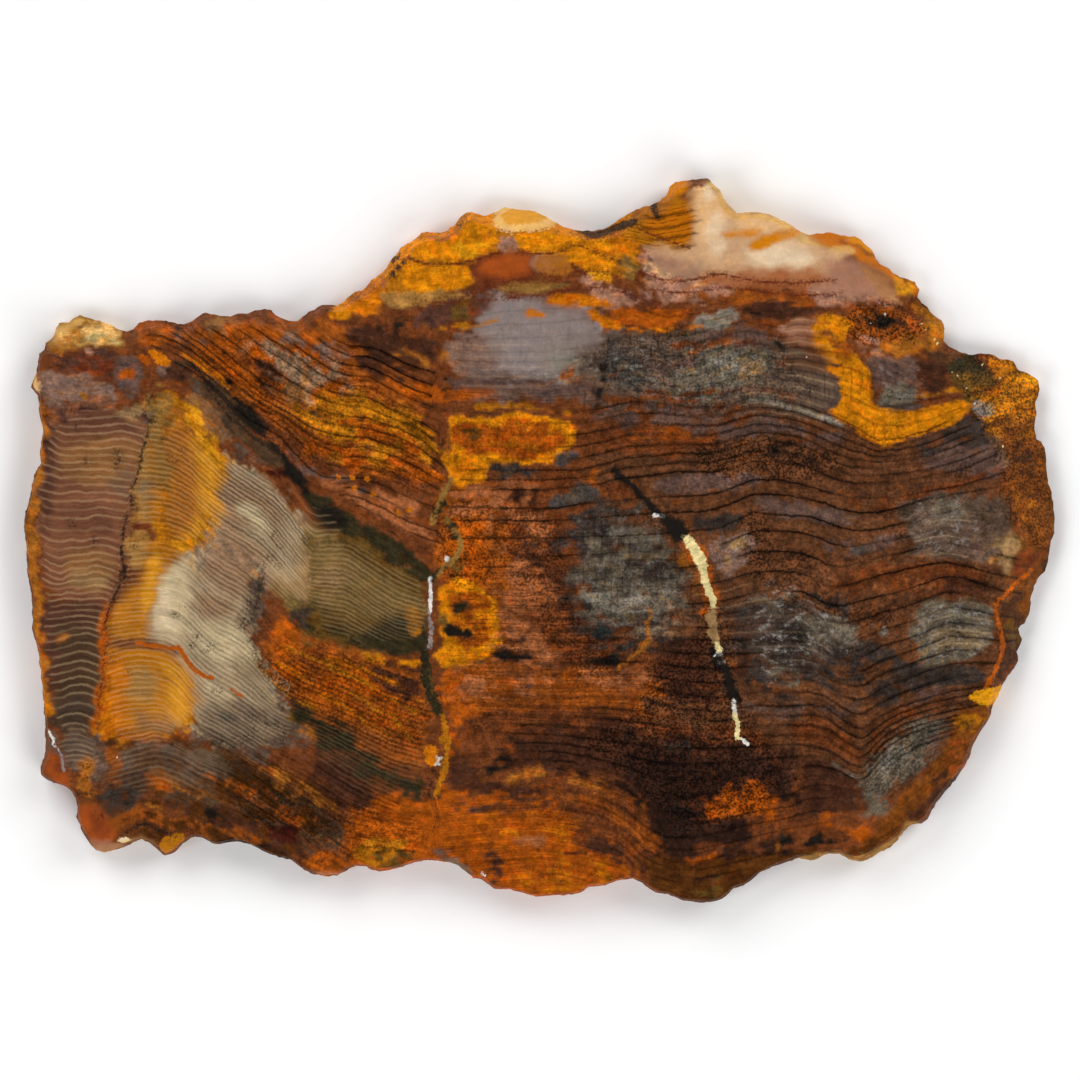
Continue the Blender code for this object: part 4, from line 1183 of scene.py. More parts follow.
def rounded(points, closed):
    """The points with their corners cut twice, so that a shape drawn with few points has soft turns."""
    line = np.array(points, float)
    for _ in range(2):
        ahead = np.roll(line, -1, axis=0)
        cut = np.stack([line * 0.75 + ahead * 0.25, line * 0.25 + ahead * 0.75], axis=1).reshape(-1, 2)
        line = cut if closed else np.vstack([line[:1], cut[:-2], line[-1:]])
    return line


def line_distance(line, x, y):
    """Distance from each place to a line of points."""
    best = np.full(len(x), np.inf)
    for (ax, ay), (bx, by) in zip(line[:-1], line[1:]):
        dx, dy = bx - ax, by - ay
        along = np.clip(((x - ax) * dx + (y - ay) * dy) / max(dx * dx + dy * dy, 1e-9), 0, 1)
        best = np.minimum(best, np.hypot(x - ax - along * dx, y - ay - along * dy))
    return best


def inside_line(line, x, y):
    """Whether each place lies inside a closed line."""
    inside = np.zeros(len(x), bool)
    for (ax, ay), (bx, by) in zip(line[:-1], line[1:]):
        if ay == by:
            continue
        crosses = (ay > y) != (by > y)
        inside ^= crosses & (x < (bx - ax) * (y - ay) / (by - ay) + ax)
    return inside


def depth_in(mark, x, y):
    """How deep each place lies inside a mark, in pixels, and below zero outside it."""
    if mark.form == "spots":
        gaps = [np.hypot(x - px, y - py) for px, py in mark.points]
        return mark.width / 2 - np.min(gaps, axis=0)
    if mark.form == "band":
        return mark.width / 2 - line_distance(rounded(mark.points, False), x, y)
    line = rounded(mark.points, True)
    line = np.vstack([line, line[:1]])
    gap = line_distance(line, x, y)
    return np.where(inside_line(line, x, y), gap, -gap)


def near(mark, x, y, margin):
    """The places that a mark can reach."""
    points = np.array(mark.points, float)
    reach = mark.width / 2 + margin
    low, high = points.min(axis=0) - reach, points.max(axis=0) + reach
    return np.nonzero((x > low[0]) & (x < high[0]) & (y > low[1]) & (y < high[1]))[0]


def paint_over(layer, marks, value_of, x, y, feathers, softness):
    """Paints the marks in their order over a layer of values, each with a grainy, feathered edge."""
    for number, mark in enumerate(marks):
        here = near(mark, x, y, mark.edge)
        cover = np.clip(depth_in(mark, x[here], y[here]) / mark.edge + 0.5, 0, 1) * mark.cover
        level = cover * (1 + softness[here]) - feathers[number % len(feathers)][here]
        share = np.clip(level / softness[here], 0, 1)
        if layer.ndim == 2:
            share = share[:, None]
        layer[here] += (value_of(mark.paint) - layer[here]) * share


def deepest(marks, x, y, tint, value_of):
    """How deep each place lies inside any of the marks, in widths of their edges.

    The tint of each place is set to the mark's that it lies deepest in, or else nearest to.
    """
    depth = np.full(len(x), -EDGE_REACH_PX)
    for mark in marks:
        here = near(mark, x, y, EDGE_REACH_PX)
        found = depth_in(mark, x[here], y[here]) / mark.edge
        better = found > depth[here]
        depth[here[better]] = found[better]
        tint[here[better]] = value_of(mark.paint)
    return np.minimum(depth, EDGE_REACH_PX)


def ring_number(guides, x, y):
    """The ring number at each place, read between the two guide lines around it."""
    heights = []
    grid = np.arange(0, PHOTO_SIDE_PX + 1)
    bell = np.hanning(GUIDE_SMOOTHING_PX) / np.hanning(GUIDE_SMOOTHING_PX).sum()
    for _, points in guides:
        px, py = np.array(points).T
        line = np.interp(grid, px, py)
        smooth = np.convolve(np.pad(line, GUIDE_SMOOTHING_PX // 2, mode="edge"), bell, "valid")
        heights.append(np.interp(x, grid, smooth))
    heights = np.array(heights)
    numbers = np.array([number for number, _ in guides])
    above = np.clip((heights < y).sum(axis=0) - 1, 0, len(guides) - 2)
    columns = np.arange(len(x))
    top, bottom = heights[above, columns], heights[above + 1, columns]
    share = (y - top) / np.maximum(bottom - top, 1.0)
    return numbers[above] + share * (numbers[above + 1] - numbers[above])


def ring_pitch(guides, x, y):
    """The distance between two rings at each place, in pixels."""
    step = 2.0
    across = ring_number(guides, x, y + step) - ring_number(guides, x, y - step)
    along = ring_number(guides, x + step, y) - ring_number(guides, x - step, y)
    return np.clip(2 * step / np.maximum(np.hypot(across, along), 1e-3), *PITCH_RANGE_PX)


def line_x(line, y):
    """The x of a line that runs down the slab, at each y."""
    points = np.array(line)
    return np.interp(y, points[:, 1], points[:, 0])


def lies_at(part, height):
    """Whether an edge or a face lies flat at one height."""
    return all(abs(vert.co.z - height) < ON_PLANE for vert in part.verts)


def flat_loop(bm, height):
    """The border points at one height, in order round the slab."""
    edge = next(e for e in bm.edges if e.is_boundary and lies_at(e, height))
    loop = [edge.verts[0], edge.verts[1]]
    while True:
        ahead = [e for e in loop[-1].link_edges if e.is_boundary and e is not edge]
        edge = ahead[0]
        following = edge.other_vert(loop[-1])
        if following is loop[0]:
            return loop
        loop.append(following)


def lattice(loop, spacing):
    """Points at even distances inside a border, none of them close to it."""
    tree = kdtree.KDTree(len(loop))
    for i, vert in enumerate(loop):
        tree.insert((vert.co.x, vert.co.y, 0.0), i)
    tree.balance()
    low_x, high_x = min(v.co.x for v in loop), max(v.co.x for v in loop)
    low_y, high_y = min(v.co.y for v in loop), max(v.co.y for v in loop)
    row_height = spacing * math.sqrt(3) / 2
    rows = int((high_y - low_y) / row_height) + 1
    columns = int((high_x - low_x) / spacing) + 1
    xs, ys = [], []
    for row in range(rows):
        for column in range(columns):
            xs.append(low_x + (column + 0.5 * (row % 2)) * spacing)
            ys.append(low_y + row * row_height)
    border = np.array([(v.co.x, v.co.y) for v in loop] + [(loop[0].co.x, loop[0].co.y)])
    inside = inside_line(border, np.array(xs), np.array(ys))
    places = [(x, y) for x, y, keep in zip(xs, ys, inside) if keep]
    return [p for p in places if tree.find((p[0], p[1], 0.0))[2] > spacing * BORDER_GAP]


def fill_cap(bm, height, spacing, material, upward):
    """Closes the slab at one height with even triangles."""
    loop = flat_loop(bm, height)
    flat = [Vector((v.co.x, v.co.y)) for v in loop] + [Vector(p) for p in lattice(loop, spacing)]
    border = list(range(len(loop)))
    inside_border = 1
    found = geometry.delaunay_2d_cdt(flat, [], [border], inside_border, 1e-9)
    coordinates, faces, origins = found[0], found[2], found[3]
    verts = []
    for place, origin in zip(coordinates, origins):
        known = origin[0] if origin else len(loop)
        verts.append(loop[known] if known < len(loop) else bm.verts.new((place.x, place.y, height)))
    for face in faces:
        corners = [verts[i] for i in face]
        (ax, ay), (bx, by), (cx, cy) = [coordinates[i] for i in face]
        turns_up = (bx - ax) * (cy - ay) - (by - ay) * (cx - ax) > 0
        new = bm.faces.new(corners if turns_up == upward else corners[::-1])
        new.material_index = material
        new.smooth = False


def roughen_rind(bm, sizes):
    """Pits the rind's finest surface inwards, away from the face's edge and the back's edge."""
    bm.normal_update()
    moves = {}
    for vert in bm.verts:
        z = vert.co.z
        if z < ON_PLANE or z > THICKNESS - ON_PLANE:
            continue
        place = vert.co / sizes.rind_grain
        lumps = abs(noise.noise(place)) + FINE_PIT_SHARE * abs(noise.noise(place * FINE_PIT_SCALE))
        fade = min(1.0, z / PIT_FADE, (THICKNESS - z) / PIT_FADE)
        moves[vert] = vert.normal * (-sizes.rind_depth * min(lumps * PIT_GAIN, 1.0) * fade)
    for vert, move in moves.items():
        vert.co += move


def make_slab_mesh(sizes):
    """The slab as one closed mesh: the CAD solid's rind cut finer, and its flat sides filled evenly."""
    bm = bmesh.new()
    bm.from_mesh(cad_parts[NODE].data)
    bmesh.ops.remove_doubles(bm, verts=bm.verts, dist=WELD_GAP)
    for height in (THICKNESS, 0.0):
        flat = [face for face in bm.faces if lies_at(face, height)]
        bmesh.ops.delete(bm, geom=flat, context="FACES_ONLY")
    bmesh.ops.subdivide_edges(bm, edges=bm.edges, cuts=sizes.rind_cuts, use_grid_fill=True)
    bmesh.ops.triangulate(bm, faces=bm.faces)
    for face in bm.faces:
        face.material_index = RIND
        face.smooth = True
    roughen_rind(bm, sizes)
    fill_cap(bm, THICKNESS, sizes.face_spacing, FACE, True)
    fill_cap(bm, 0.0, sizes.back_spacing, BACK, False)
    mesh = bpy.data.meshes.new(PIECE)
    bm.to_mesh(mesh)
    bm.free()
    return mesh


def store(mesh, name, values):
    """Keeps one number or one colour for each of the mesh's points."""
    if values.ndim == 1:
        layer = mesh.attributes.new(name, "FLOAT", "POINT")
        layer.data.foreach_set("value", values.astype(np.float32))
        return
    layer = mesh.attributes.new(name, "FLOAT_COLOR", "POINT")
    with_alpha = np.hstack([values, np.ones((len(values), 1))])
    layer.data.foreach_set("color", with_alpha.astype(np.float32).ravel())


def drawn_places(mesh):
    """Where each of the mesh's points lies in the drawings, with the pattern shifted towards the back."""
    points = np.empty(len(mesh.vertices) * 3, np.float32)
    mesh.vertices.foreach_get("co", points)
    points = points.reshape(-1, 3).astype(float)
    x, y = photo_place(points[:, 0], points[:, 1])
    down = 1 - points[:, 2] / THICKNESS
    return x - SHIFT_DOWN_PX[0] * down, y - SHIFT_DOWN_PX[1] * down


def store_rings(mesh, x, y):
    """Keeps the rings' numbers and distances, and returns how far down the rings each point lies."""
    past_crack = x - line_x(CRACK, y)
    past_vein = x - line_x(MIDDLE_VEIN, y)
    parts = {"rings_left": LEFT_RINGS, "rings_middle": MIDDLE_RINGS, "rings_right": RIGHT_RINGS}
    left, middle, right = [ring_number(guides, x, y) for guides in parts.values()]
    left_pitch, middle_pitch, right_pitch = [ring_pitch(guides, x, y) for guides in parts.values()]
    for name, values in zip(parts, (left, middle, right)):
        store(mesh, name, values)
    store(mesh, "past_crack", np.clip(past_crack, -SIDE_REACH_PX, SIDE_REACH_PX))
    store(mesh, "past_vein", np.clip(past_vein, -SIDE_REACH_PX, SIDE_REACH_PX))
    sides = [past_vein > 0, past_crack > 0]
    store(mesh, "ring_pitch", np.select(sides, [right_pitch, middle_pitch], left_pitch))
    return np.select(sides, [right * RIGHT_PITCH, middle * LEFT_PITCH], left * LEFT_PITCH)


def paint_strengths(mesh, x, y, feathers):
    """Paints how strongly each kind of detail shows, and returns how soft painted edges are.

    Edges are softer in smooth agate, where pale rings show or streaks don't.
    """
    strengths = {
        "pale_rings": PALE_RINGS,
        "streaks": STREAKS,
        "dark_rings": DARK_RINGS,
        "fine_rings": FINE_RINGS,
        "speckle": SPECKLE,
        "wisps": WISPS,
        "rays": RAYS,
    }
    softness = np.full(len(x), GRAIN_SOFTNESS)
    for name, marks in strengths.items():
        layer = np.zeros(len(x))
        paint_over(layer, marks, float, x, y, feathers, softness)
        store(mesh, name, layer)
        if name == "pale_rings":
            softness = GRAIN_SOFTNESS + AGATE_SOFTNESS * np.minimum(layer * 2, 1)
        if name == "streaks":
            softness = softness + AGATE_SOFTNESS * np.clip((0.4 - layer) * 4, 0, 1)
    return softness


def paint_slab(mesh, colours):
    """Paints the rings and minerals on the mesh's points."""

    def colour_of(name):
        return np.array(getattr(colours, name))

    x, y = drawn_places(mesh)
    depth = store_rings(mesh, x, y)
    feathers = feather_layers(x, y, depth)
    vein_x, vein_y = wandered(x, y, depth, VEIN_WANDER)
    x, y = wandered(x, y, depth, 1.0)
    softness = paint_strengths(mesh, x, y, feathers)
    ground = np.tile(colour_of("rust"), (len(x), 1))
    paint_over(ground, GROUND, colour_of, x, y, feathers, softness)
    store(mesh, "ground", ground)
    for name, marks, first_paint in (("inlay", INLAY, "ochre"), ("black", BLACK, "black")):
        tint = np.tile(colour_of(first_paint), (len(x), 1))
        store(mesh, f"{name}_depth", deepest(marks, vein_x, vein_y, tint, colour_of))
        store(mesh, name, tint)


class NodeBench:
    """A short way to add shader nodes to a tree and join them."""

    def __init__(self, tree):
        self.tree = tree

    def add(self, kind, inputs=(), **settings):
        """One node with its settings, and its sockets joined or set."""
        node = self.tree.nodes.new(kind)
        for name, value in settings.items():
            setattr(node, name, value)
        for key, value in dict(inputs).items():
            self.join(value, node.inputs[key])
        return node

    def join(self, value, socket):
        """Joins another node's output to a socket, or sets the socket's own value."""
        if isinstance(value, bpy.types.NodeSocket):
            self.tree.links.new(value, socket)
        else:
            socket.default_value = value

    def stored(self, name, output="Fac"):
        """A number that the mesh's points carry, or a colour."""
        return self.add("ShaderNodeAttribute", attribute_name=name).outputs[output]

    def math(self, operation, first, second=0.0, third=0.0):
        """One sum on numbers."""
        return self.add("ShaderNodeMath", {0: first, 1: second, 2: third}, operation=operation).outputs[0]

    def times(self, first, second):
        """Two numbers multiplied."""
        return self.math("MULTIPLY", first, second)

    def plus(self, first, second):
        """Two numbers added."""
        return self.math("ADD", first, second)

    def swing(self, noise, reach):
        """Noise from 0 to 1 turned into a swing of up to reach either way."""
        return self.math("MULTIPLY_ADD", noise, 2 * reach, -reach)

    def fade(self, value, start, end, low=0.0, high=1.0):
        """A smooth step from low at start to high at end."""
        return self.add(
            "ShaderNodeMapRange",
            {"Value": value, "From Min": start, "From Max": end, "To Min": low, "To Max": high},
            interpolation_type="SMOOTHSTEP",
        ).outputs[0]

    def fade_out(self, value, start, end):
        """A smooth step from 1 at start to 0 at end."""
        return self.fade(value, start, end, 1.0, 0.0)

    def mix(self, share, first, second, blend="MIX"):
        """Two colours mixed."""
        sockets = {0: share, 6: first, 7: second}
        return self.add("ShaderNodeMix", sockets, data_type="RGBA", blend_type=blend).outputs[2]

    def blend(self, share, first, second):
        """Two numbers mixed."""
        return self.add("ShaderNodeMix", {0: share, 2: first, 3: second}, data_type="FLOAT").outputs[0]

    def noise(self, place, scale, detail=2.0, roughness=0.5):
        """Even noise from 0 to 1."""
        return self.add(
            "ShaderNodeTexNoise",
            {"Vector": place, "Scale": scale, "Detail": detail, "Roughness": roughness},
        ).outputs[0]

    def tinted(self, colour, share, tint):
        """A colour multiplied by a tint, as far as the share says."""
        return self.mix(share, colour, self.mix(1.0, colour, (*tint, 1.0), "MULTIPLY"))

    def darker(self, colour, share, tone=0.25):
        """A colour brought down by a share, at most to the given tone of itself."""
        return self.tinted(colour, share, (tone, tone, tone))

    def brighter(self, colour, gain):
        """A colour multiplied by a number."""
        grey = self.add("ShaderNodeCombineColor", {0: gain, 1: gain, 2: gain}).outputs[0]
        return self.mix(1.0, colour, grey, "MULTIPLY")


class StoneBench(NodeBench):
    """The nodes of the stone's colour, with the values that its layers share.

    The scale of a noise is in lumps to a pixel. Pale rings lie on whole ring numbers, and dark rings
    halfway between them.
    """

    def __init__(self, tree):
        super().__init__(tree)
        spot = self.add("ShaderNodeTexCoord").outputs["Object"]
        self.pixels = self.add(
            "ShaderNodeVectorMath", {0: spot, "Scale": 1 / METRES_PER_PX}, operation="SCALE"
        ).outputs[0]
        self.x = self.add("ShaderNodeSeparateXYZ", {0: self.pixels}).outputs[0]
        self.pitch = self.stored("ring_pitch")
        self.rings = self.ring_numbers()
        self.to_pale = self.math("PINGPONG", self.rings, 0.5)
        self.to_dark = self.math("SUBTRACT", 0.5, self.to_pale)
        self.blotches = self.noise(self.pixels, 0.085, 5.0, 0.65)
        self.grit = self.noise(self.pixels, 0.36, 2.0, 0.6)
        self.streaks = self.drawn_out(self.rings, 0.06, 2.6, 3.0, 0.7)
        self.smooth = self.math(
            "MAXIMUM",
            self.fade(self.stored("pale_rings"), 0.1, 0.5),
            self.fade(self.stored("streaks"), 0.4, 0.15),
        )
        self.rough = self.math("SUBTRACT", 1.0, self.times(self.smooth, 0.8))
        self.gain = self.ground_gain()
        self.dark_core, self.dark_shoulder = self.dark_ring_shares()
        self.cells = self.noise(self.pixels, 0.4, 2.0, 0.6)
        self.cell_level = self.leaning_cells()
        self.fray = self.swing(self.noise(self.pixels, 0.3, 3.0, 0.65), FRAY)

    def drawn_out(self, rows, fine_along, fine_across, detail=1.0, roughness=0.5, cut=0.0):
        """Noise drawn out along the rings: rows counts across them, and the cut keeps noises apart."""
        sockets = {0: self.times(self.x, fine_along), 1: self.times(rows, fine_across), 2: cut}
        place = self.add("ShaderNodeCombineXYZ", sockets).outputs[0]
        return self.noise(place, 1.0, detail, roughness)

    def ring_numbers(self):
        """The ring number at each place, with the slab's three parts joined and a little sway."""
        right_of_crack = self.fade(self.stored("past_crack"), -1.5, 1.5)
        right_of_vein = self.fade(self.stored("past_vein"), -5.0, 5.0)
        rings = self.blend(right_of_crack, self.stored("rings_left"), self.stored("rings_middle"))
        rings = self.blend(right_of_vein, rings, self.stored("rings_right"))
        wander = self.swing(self.noise(self.pixels, 0.11, 2.0), WANDER_PX)
        flutter = self.swing(self.noise(self.pixels, 0.45, 1.0), FLUTTER_PX)
        return self.plus(rings, self.math("DIVIDE", self.plus(wander, flutter), self.pitch))

    def ground_gain(self):
        """How much streaks along the rings, blotches and grit brighten and darken the ground."""
        broad = self.drawn_out(self.rings, 0.02, 0.6, 3.0, 0.6)
        streak = self.math("SUBTRACT", self.plus(broad, self.streaks), 1.0)
        gain = self.math("MULTIPLY_ADD", self.times(streak, self.stored("streaks")), 2.6, 1.0)
        blotches = self.fade(self.blotches, 0.3, 0.72, 0.68, 1.3)
        mottle = self.times(blotches, self.fade(self.grit, 0.3, 0.7, 0.8, 1.2))
        gain = self.times(gain, self.blend(self.times(self.smooth, 0.75), mottle, 1.0))
        return self.math("MAXIMUM", gain, 0.25)

    def dark_ring_shares(self):
        """How much of a dark ring's grainy core and of its dim shoulders shows at each place."""
        gap = self.times(self.to_dark, self.pitch)
        each_ring = self.drawn_out(self.math("FLOOR", self.rings), 0.012, 3.7)
        strength = self.times(self.stored("dark_rings"), self.fade(each_ring, 0.32, 0.55, 0.35, 1.0))
        shoulder = self.times(self.fade_out(gap, 0.0, 5.0), strength)
        core = self.fade_out(self.plus(gap, self.times(self.grit, 1.2)), 0.9, 2.3)
        return self.times(core, strength), shoulder

    def leaning_cells(self):
        """The noise of the wood's cells, which leans towards dark in places and beside the dark rings."""
        lean = self.times(self.math("SUBTRACT", self.blotches, 0.5), 0.3)
        level = self.math("SUBTRACT", self.cells, lean)
        return self.plus(level, self.times(self.dark_shoulder, 0.06))

    def ground(self):
        """The painted ground with its streaks and mottling, and with warmer and cooler patches."""
        colour = self.brighter(self.stored("ground", "Color"), self.gain)
        warmth = self.drawn_out(self.times(self.rings, self.pitch), 0.05, 0.11, 4.0, 0.65, cut=7.0)
        colour = self.tinted(colour, self.times(self.fade(warmth, 0.52, 0.66), self.rough), WARM_TINT)
        return self.tinted(colour, self.times(self.fade(warmth, 0.47, 0.34), self.rough), COOL_TINT)

    def pale_rings(self, colour):
        """Pale rings, with slightly darker wood between them."""
        strength = self.stored("pale_rings")
        between = self.times(self.fade_out(self.to_dark, 0.0, 0.3), strength)
        colour = self.darker(colour, self.times(between, 0.2))
        pale = self.times(self.fade_out(self.times(self.to_pale, self.pitch), 0.2, 1.7), strength)
        each_ring = self.drawn_out(self.math("ROUND", self.rings), 0.02, 5.1)
        pale = self.times(pale, self.fade(each_ring, 0.3, 0.6, 0.4, 1.0))
        return self.mix(pale, colour, self.mix(0.42, self.brighter(colour, 1.25), rgba(RING_CREAM)))

    def dark_rings(self, colour):
        """Dark rings with their shoulders, and fine broken ones at every third of a ring."""
        colour = self.darker(colour, self.times(self.dark_shoulder, 0.35))
        colour = self.darker(colour, self.dark_core, tone=0.14)
        to_fine = self.math("PINGPONG", self.times(self.rings, 3.0), 0.5)
        fine = self.times(self.fade_out(to_fine, 0.05, 0.25), self.stored("fine_rings"))
        return self.darker(colour, self.times(fine, self.fade(self.streaks, 0.4, 0.6)), tone=0.3)

    def wisps_and_rays(self, colour):
        """Pale wisps of agate along the rings, and dark rays across them."""
        wisp = self.fade(self.drawn_out(self.rings, 0.09, 2.0, 5.0, 0.75, cut=3.0), 0.5, 0.7)
        wisp = self.times(wisp, self.stored("wisps"))
        colour = self.mix(self.times(wisp, 0.75), colour, rgba(WISP_GREY))
        ray = self.fade(self.drawn_out(self.rings, 0.3, 0.5, 2.0, cut=5.0), 0.54, 0.68)
        return self.darker(colour, self.times(ray, self.stored("rays")), tone=0.4)

    def speckle(self, colour):
        """The dark speckle of the wood's cells, with bright dots between."""
        strength = self.stored("speckle")
        dark = self.times(self.fade(self.cell_level, 0.49, 0.58), strength)
        colour = self.darker(colour, dark, tone=0.22)
        bright = self.times(self.fade(self.cell_level, 0.45, 0.36), strength)
        return self.tinted(colour, self.times(bright, 0.6), CELL_TINT)

    def inlay(self, colour):
        """Inlaid minerals with frayed rims, streaked, ringed and speckled like the wood but less."""
        gain = self.math("MAXIMUM", self.math("MULTIPLY_ADD", self.gain, 0.7, 0.35), 0.4)
        mineral = self.brighter(self.stored("inlay", "Color"), gain)
        mineral = self.darker(mineral, self.times(self.dark_core, 0.4), tone=0.3)
        specks = self.times(self.fade(self.cell_level, 0.5, 0.64), self.times(self.rough, 0.4))
        mineral = self.darker(mineral, specks, tone=0.4)
        edge = self.plus(self.stored("inlay_depth"), self.fray)
        return self.mix(self.fade(edge, -0.4, 0.4), colour, mineral)

    def black_lines(self, colour):
        """The black and the dark red lines over everything else, with black cells beside them."""
        line = self.stored("black", "Color")
        depth = self.stored("black_depth")
        beside = self.times(self.fade(depth, -3.0, 0.5), self.fade(self.cells, 0.48, 0.58))
        colour = self.mix(self.times(beside, 0.6), colour, line)
        edge = self.plus(depth, self.times(self.fray, 0.45))
        return self.mix(self.times(self.fade(edge, -0.2, 1.0), 0.88), colour, line)


def stone_colour_group():
    """The slab's colour as a group of nodes, from the painted ground up to the black lines."""
    group = bpy.data.node_groups.new("stone colour", "ShaderNodeTree")
    group.interface.new_socket("Color", in_out="OUTPUT", socket_type="NodeSocketColor")
    bench = StoneBench(group)
    colour = bench.ground()
    layers = (bench.pale_rings, bench.dark_rings, bench.wisps_and_rays, bench.speckle, bench.inlay)
    for add_layer in (*layers, bench.black_lines):
        colour = add_layer(colour)
    bench.add("NodeGroupOutput", {"Color": colour})
    return group


def stone_material(name, colour_group, finish):
    """A material with the stone's colour and one of its three finishes."""
    material = bpy.data.materials.new(name)
    material.use_nodes = True
    bench = NodeBench(material.node_tree)
    shader = material.node_tree.nodes["Principled BSDF"]
    stone = bench.add("ShaderNodeGroup", node_tree=colour_group)
    bench.join(stone.outputs["Color"], shader.inputs["Base Color"])
    spot = bench.add("ShaderNodeTexCoord").outputs["Object"]
    finish(bench, shader, spot, stone.outputs["Color"])
    return material


def polished_finish(bench, shader, spot, colour):
    """Lapidary polish: smooth, with a trace of waviness."""
    shader.inputs["Specular IOR Level"].default_value = 0.36
    waves = bench.noise(spot, POLISH_WAVES)
    bench.join(bench.fade(waves, 0.3, 0.7, 0.1, 0.2), shader.inputs["Roughness"])


def rough_finish(bench, shader, spot, colour):
    """Broken, crystalline rind: fine bumps, small bright facets, and a brighter, warmer colour that is
    painted light.
    """
    shader.inputs["Specular IOR Level"].default_value = 0.12
    # Painted light: the rind's colour is made brighter and warmer to lift its dimly lit sloping sides
    bench.join(bench.tinted(colour, 1.0, RIND_PAINTED_LIGHT_TINT), shader.inputs["Base Color"])
    lumps = bench.noise(spot, RIND_LUMPS, 4.0, 0.7)
    facets = bench.noise(spot, RIND_FACETS, 1.0)
    bench.join(bench.fade(facets, 0.35, 0.6, 0.45, 0.8), shader.inputs["Roughness"])
    bump = bench.add("ShaderNodeBump", {"Height": lumps, "Strength": 0.6, "Distance": 0.0004})
    bench.join(bump.outputs[0], shader.inputs["Normal"])


def sawn_finish(bench, shader, spot, colour):
    """Saw-cut back: matt, with faint parallel marks."""
    turned = bench.add("ShaderNodeMapping", {"Vector": spot, "Rotation": (0.0, 0.0, 0.5)}).outputs[0]
    marks = bench.add(
        "ShaderNodeTexWave", {"Vector": turned, "Scale": SAW_MARKS, "Distortion": 1.2, "Detail": 2.0}
    ).outputs[1]
    bench.join(bench.fade(marks, 0.0, 1.0, 0.6, 0.75), shader.inputs["Roughness"])
    bump = bench.add("ShaderNodeBump", {"Height": marks, "Strength": 0.3, "Distance": 0.00008})
    bench.join(bump.outputs[0], shader.inputs["Normal"])


FINISHES = {"polished face": polished_finish, "rough rind": rough_finish, "sawn back": sawn_finish}


class StoneSlab(bpy.types.Operator):
    """Makes the petrified wood slab with its rings, minerals and finishes"""

    bl_idname = "stone.petrified_slab"
    bl_label = "Petrified Wood Slab"
    bl_options = {"REGISTER", "UNDO"}

    def execute(self, context):
        mesh = make_slab_mesh(context.scene.stone_sizes)
        paint_slab(mesh, context.scene.stone_colours)
        group = stone_colour_group()
        for name, finish in FINISHES.items():
            mesh.materials.append(stone_material(name, group, finish))
        slab = bpy.data.objects.new(PIECE, mesh)
        context.scene.collection.objects.link(slab)
        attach(slab, "root")
        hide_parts(NODE)
        return {"FINISHED"}


def make_floor(studio):
    """A plain pale floor under the slab."""
    bpy.ops.mesh.primitive_plane_add(size=studio.floor_size, location=(0, 0, 0))
    floor = bpy.context.object
    floor.name = "studio_floor"
    material = bpy.data.materials.new("pale floor")
    material.use_nodes = True
    shader = material.node_tree.nodes["Principled BSDF"]
    shader.inputs["Base Color"].default_value = (*studio.floor_colour, 1.0)
    shader.inputs["Roughness"].default_value = 0.9
    shader.inputs["Specular IOR Level"].default_value = 0.0
    floor.data.materials.append(material)


def make_lights(studio):
    """Four soft lights round the slab, and a dim even sky."""
    for turn in LIGHT_ANGLES:
        light = bpy.data.lights.new(f"soft light {turn}", "AREA")
        light.energy = studio.light_power
        light.size = LIGHT_SIZE
        lamp = bpy.data.objects.new(light.name, light)
        angle = math.radians(turn)
        x, y = LIGHT_DISTANCE * math.cos(angle), LIGHT_DISTANCE * math.sin(angle)
        lamp.location = (x, y, LIGHT_HEIGHT)
        lamp.rotation_euler = (-lamp.location).to_track_quat("-Z", "Y").to_euler()
        bpy.context.scene.collection.objects.link(lamp)
    world = bpy.data.worlds.new("dim sky")
    world.use_nodes = True
    sky = world.node_tree.nodes["Background"]
    sky.inputs["Color"].default_value = (1.0, 1.0, 1.0, 1.0)
    sky.inputs["Strength"].default_value = SKY_STRENGTH
    bpy.context.scene.world = world


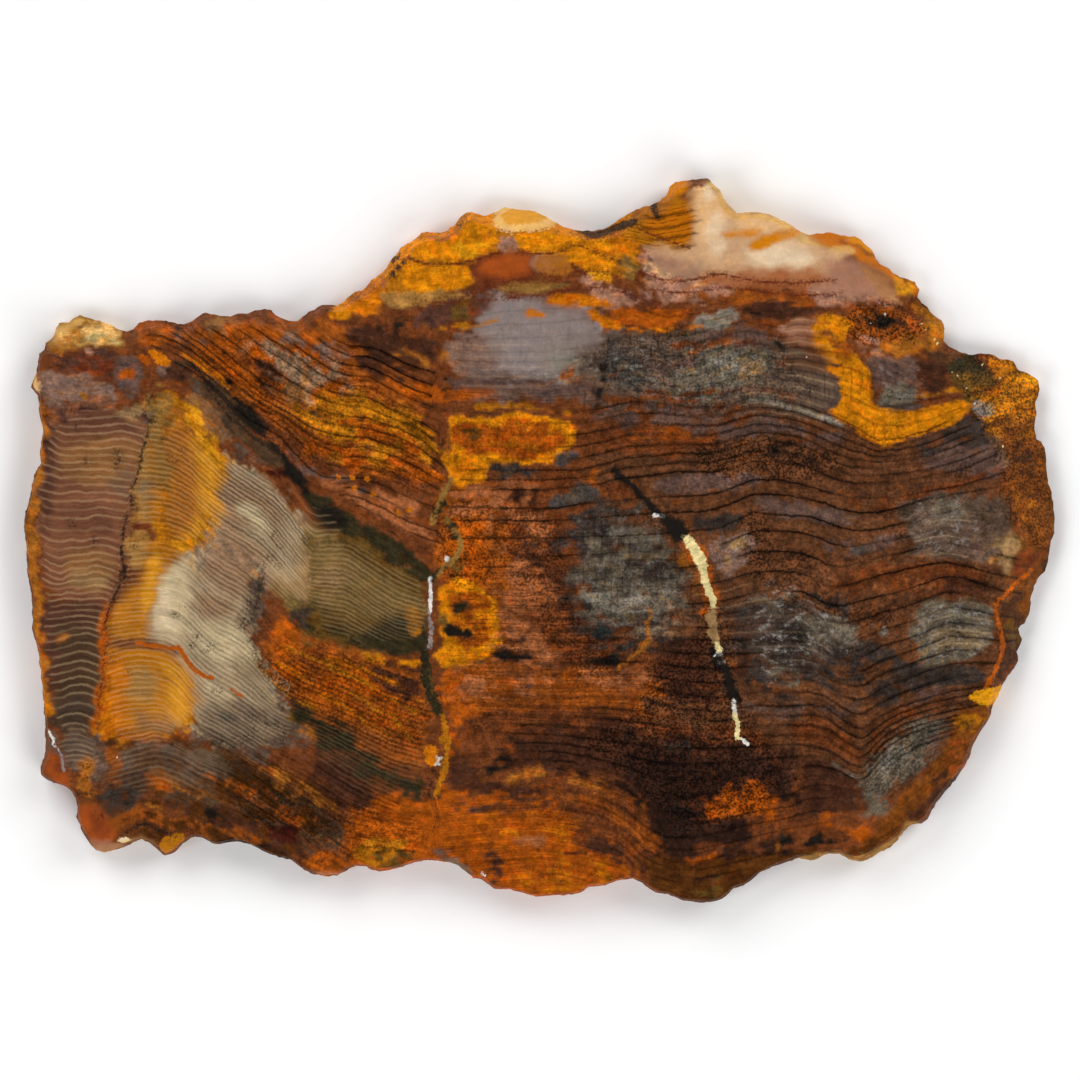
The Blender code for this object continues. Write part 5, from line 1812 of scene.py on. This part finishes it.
def make_camera(studio):
    """A camera straight above, which frames the slab as the photograph does."""
    camera = bpy.data.cameras.new("camera")
    camera.lens = camera.sensor_width * studio.camera_height / (PHOTO_SIDE_PX * METRES_PER_PX)
    camera.clip_start, camera.clip_end = CAMERA_CLIP
    eye = bpy.data.objects.new("camera", camera)
    eye.location = (
        (PHOTO_MIDDLE_PX[0] - SLAB_MIDDLE_PX[0]) * METRES_PER_PX,
        (SLAB_MIDDLE_PX[1] - PHOTO_MIDDLE_PX[1]) * METRES_PER_PX,
        THICKNESS + studio.camera_height,
    )
    bpy.context.scene.collection.objects.link(eye)
    bpy.context.scene.camera = eye


class StoneStudio(bpy.types.Operator):
    """Makes the pale floor, the soft light and the camera above the slab"""

    bl_idname = "stone.studio"
    bl_label = "Studio for the Slab"
    bl_options = {"REGISTER", "UNDO"}

    def execute(self, context):
        studio = context.scene.stone_studio
        make_floor(studio)
        make_lights(studio)
        make_camera(studio)
        context.scene.view_settings.view_transform = "Standard"
        return {"FINISHED"}


class StonePanel(bpy.types.Panel):
    """Lists the slab's tools and settings in the sidebar"""

    bl_idname = "VIEW3D_PT_petrified_slab"
    bl_label = "Petrified Slab"
    bl_space_type = "VIEW_3D"
    bl_region_type = "UI"
    bl_category = "Petrified Slab"

    def draw(self, context):
        layout = self.layout
        layout.operator(StoneSlab.bl_idname)
        layout.operator(StoneStudio.bl_idname)
        scene = context.scene
        for settings in (scene.stone_sizes, scene.stone_studio, scene.stone_colours):
            box = layout.box()
            for name in settings.__annotations__:
                box.prop(settings, name)


CLASSES = (StoneColours, StoneSizes, StudioSettings, StoneSlab, StoneStudio, StonePanel)


def register():
    """Registers the classes and their settings."""
    for each_class in CLASSES:
        bpy.utils.register_class(each_class)
    bpy.types.Scene.stone_colours = PointerProperty(type=StoneColours)
    bpy.types.Scene.stone_sizes = PointerProperty(type=StoneSizes)
    bpy.types.Scene.stone_studio = PointerProperty(type=StudioSettings)


def unregister():
    """Takes the classes and their settings away again."""
    del bpy.types.Scene.stone_studio
    del bpy.types.Scene.stone_sizes
    del bpy.types.Scene.stone_colours
    for each_class in reversed(CLASSES):
        bpy.utils.unregister_class(each_class)


def main():
    """Makes the slab and its studio."""
    register()
    bpy.ops.stone.petrified_slab()
    bpy.ops.stone.studio()


if __name__ == "__main__":
    main()
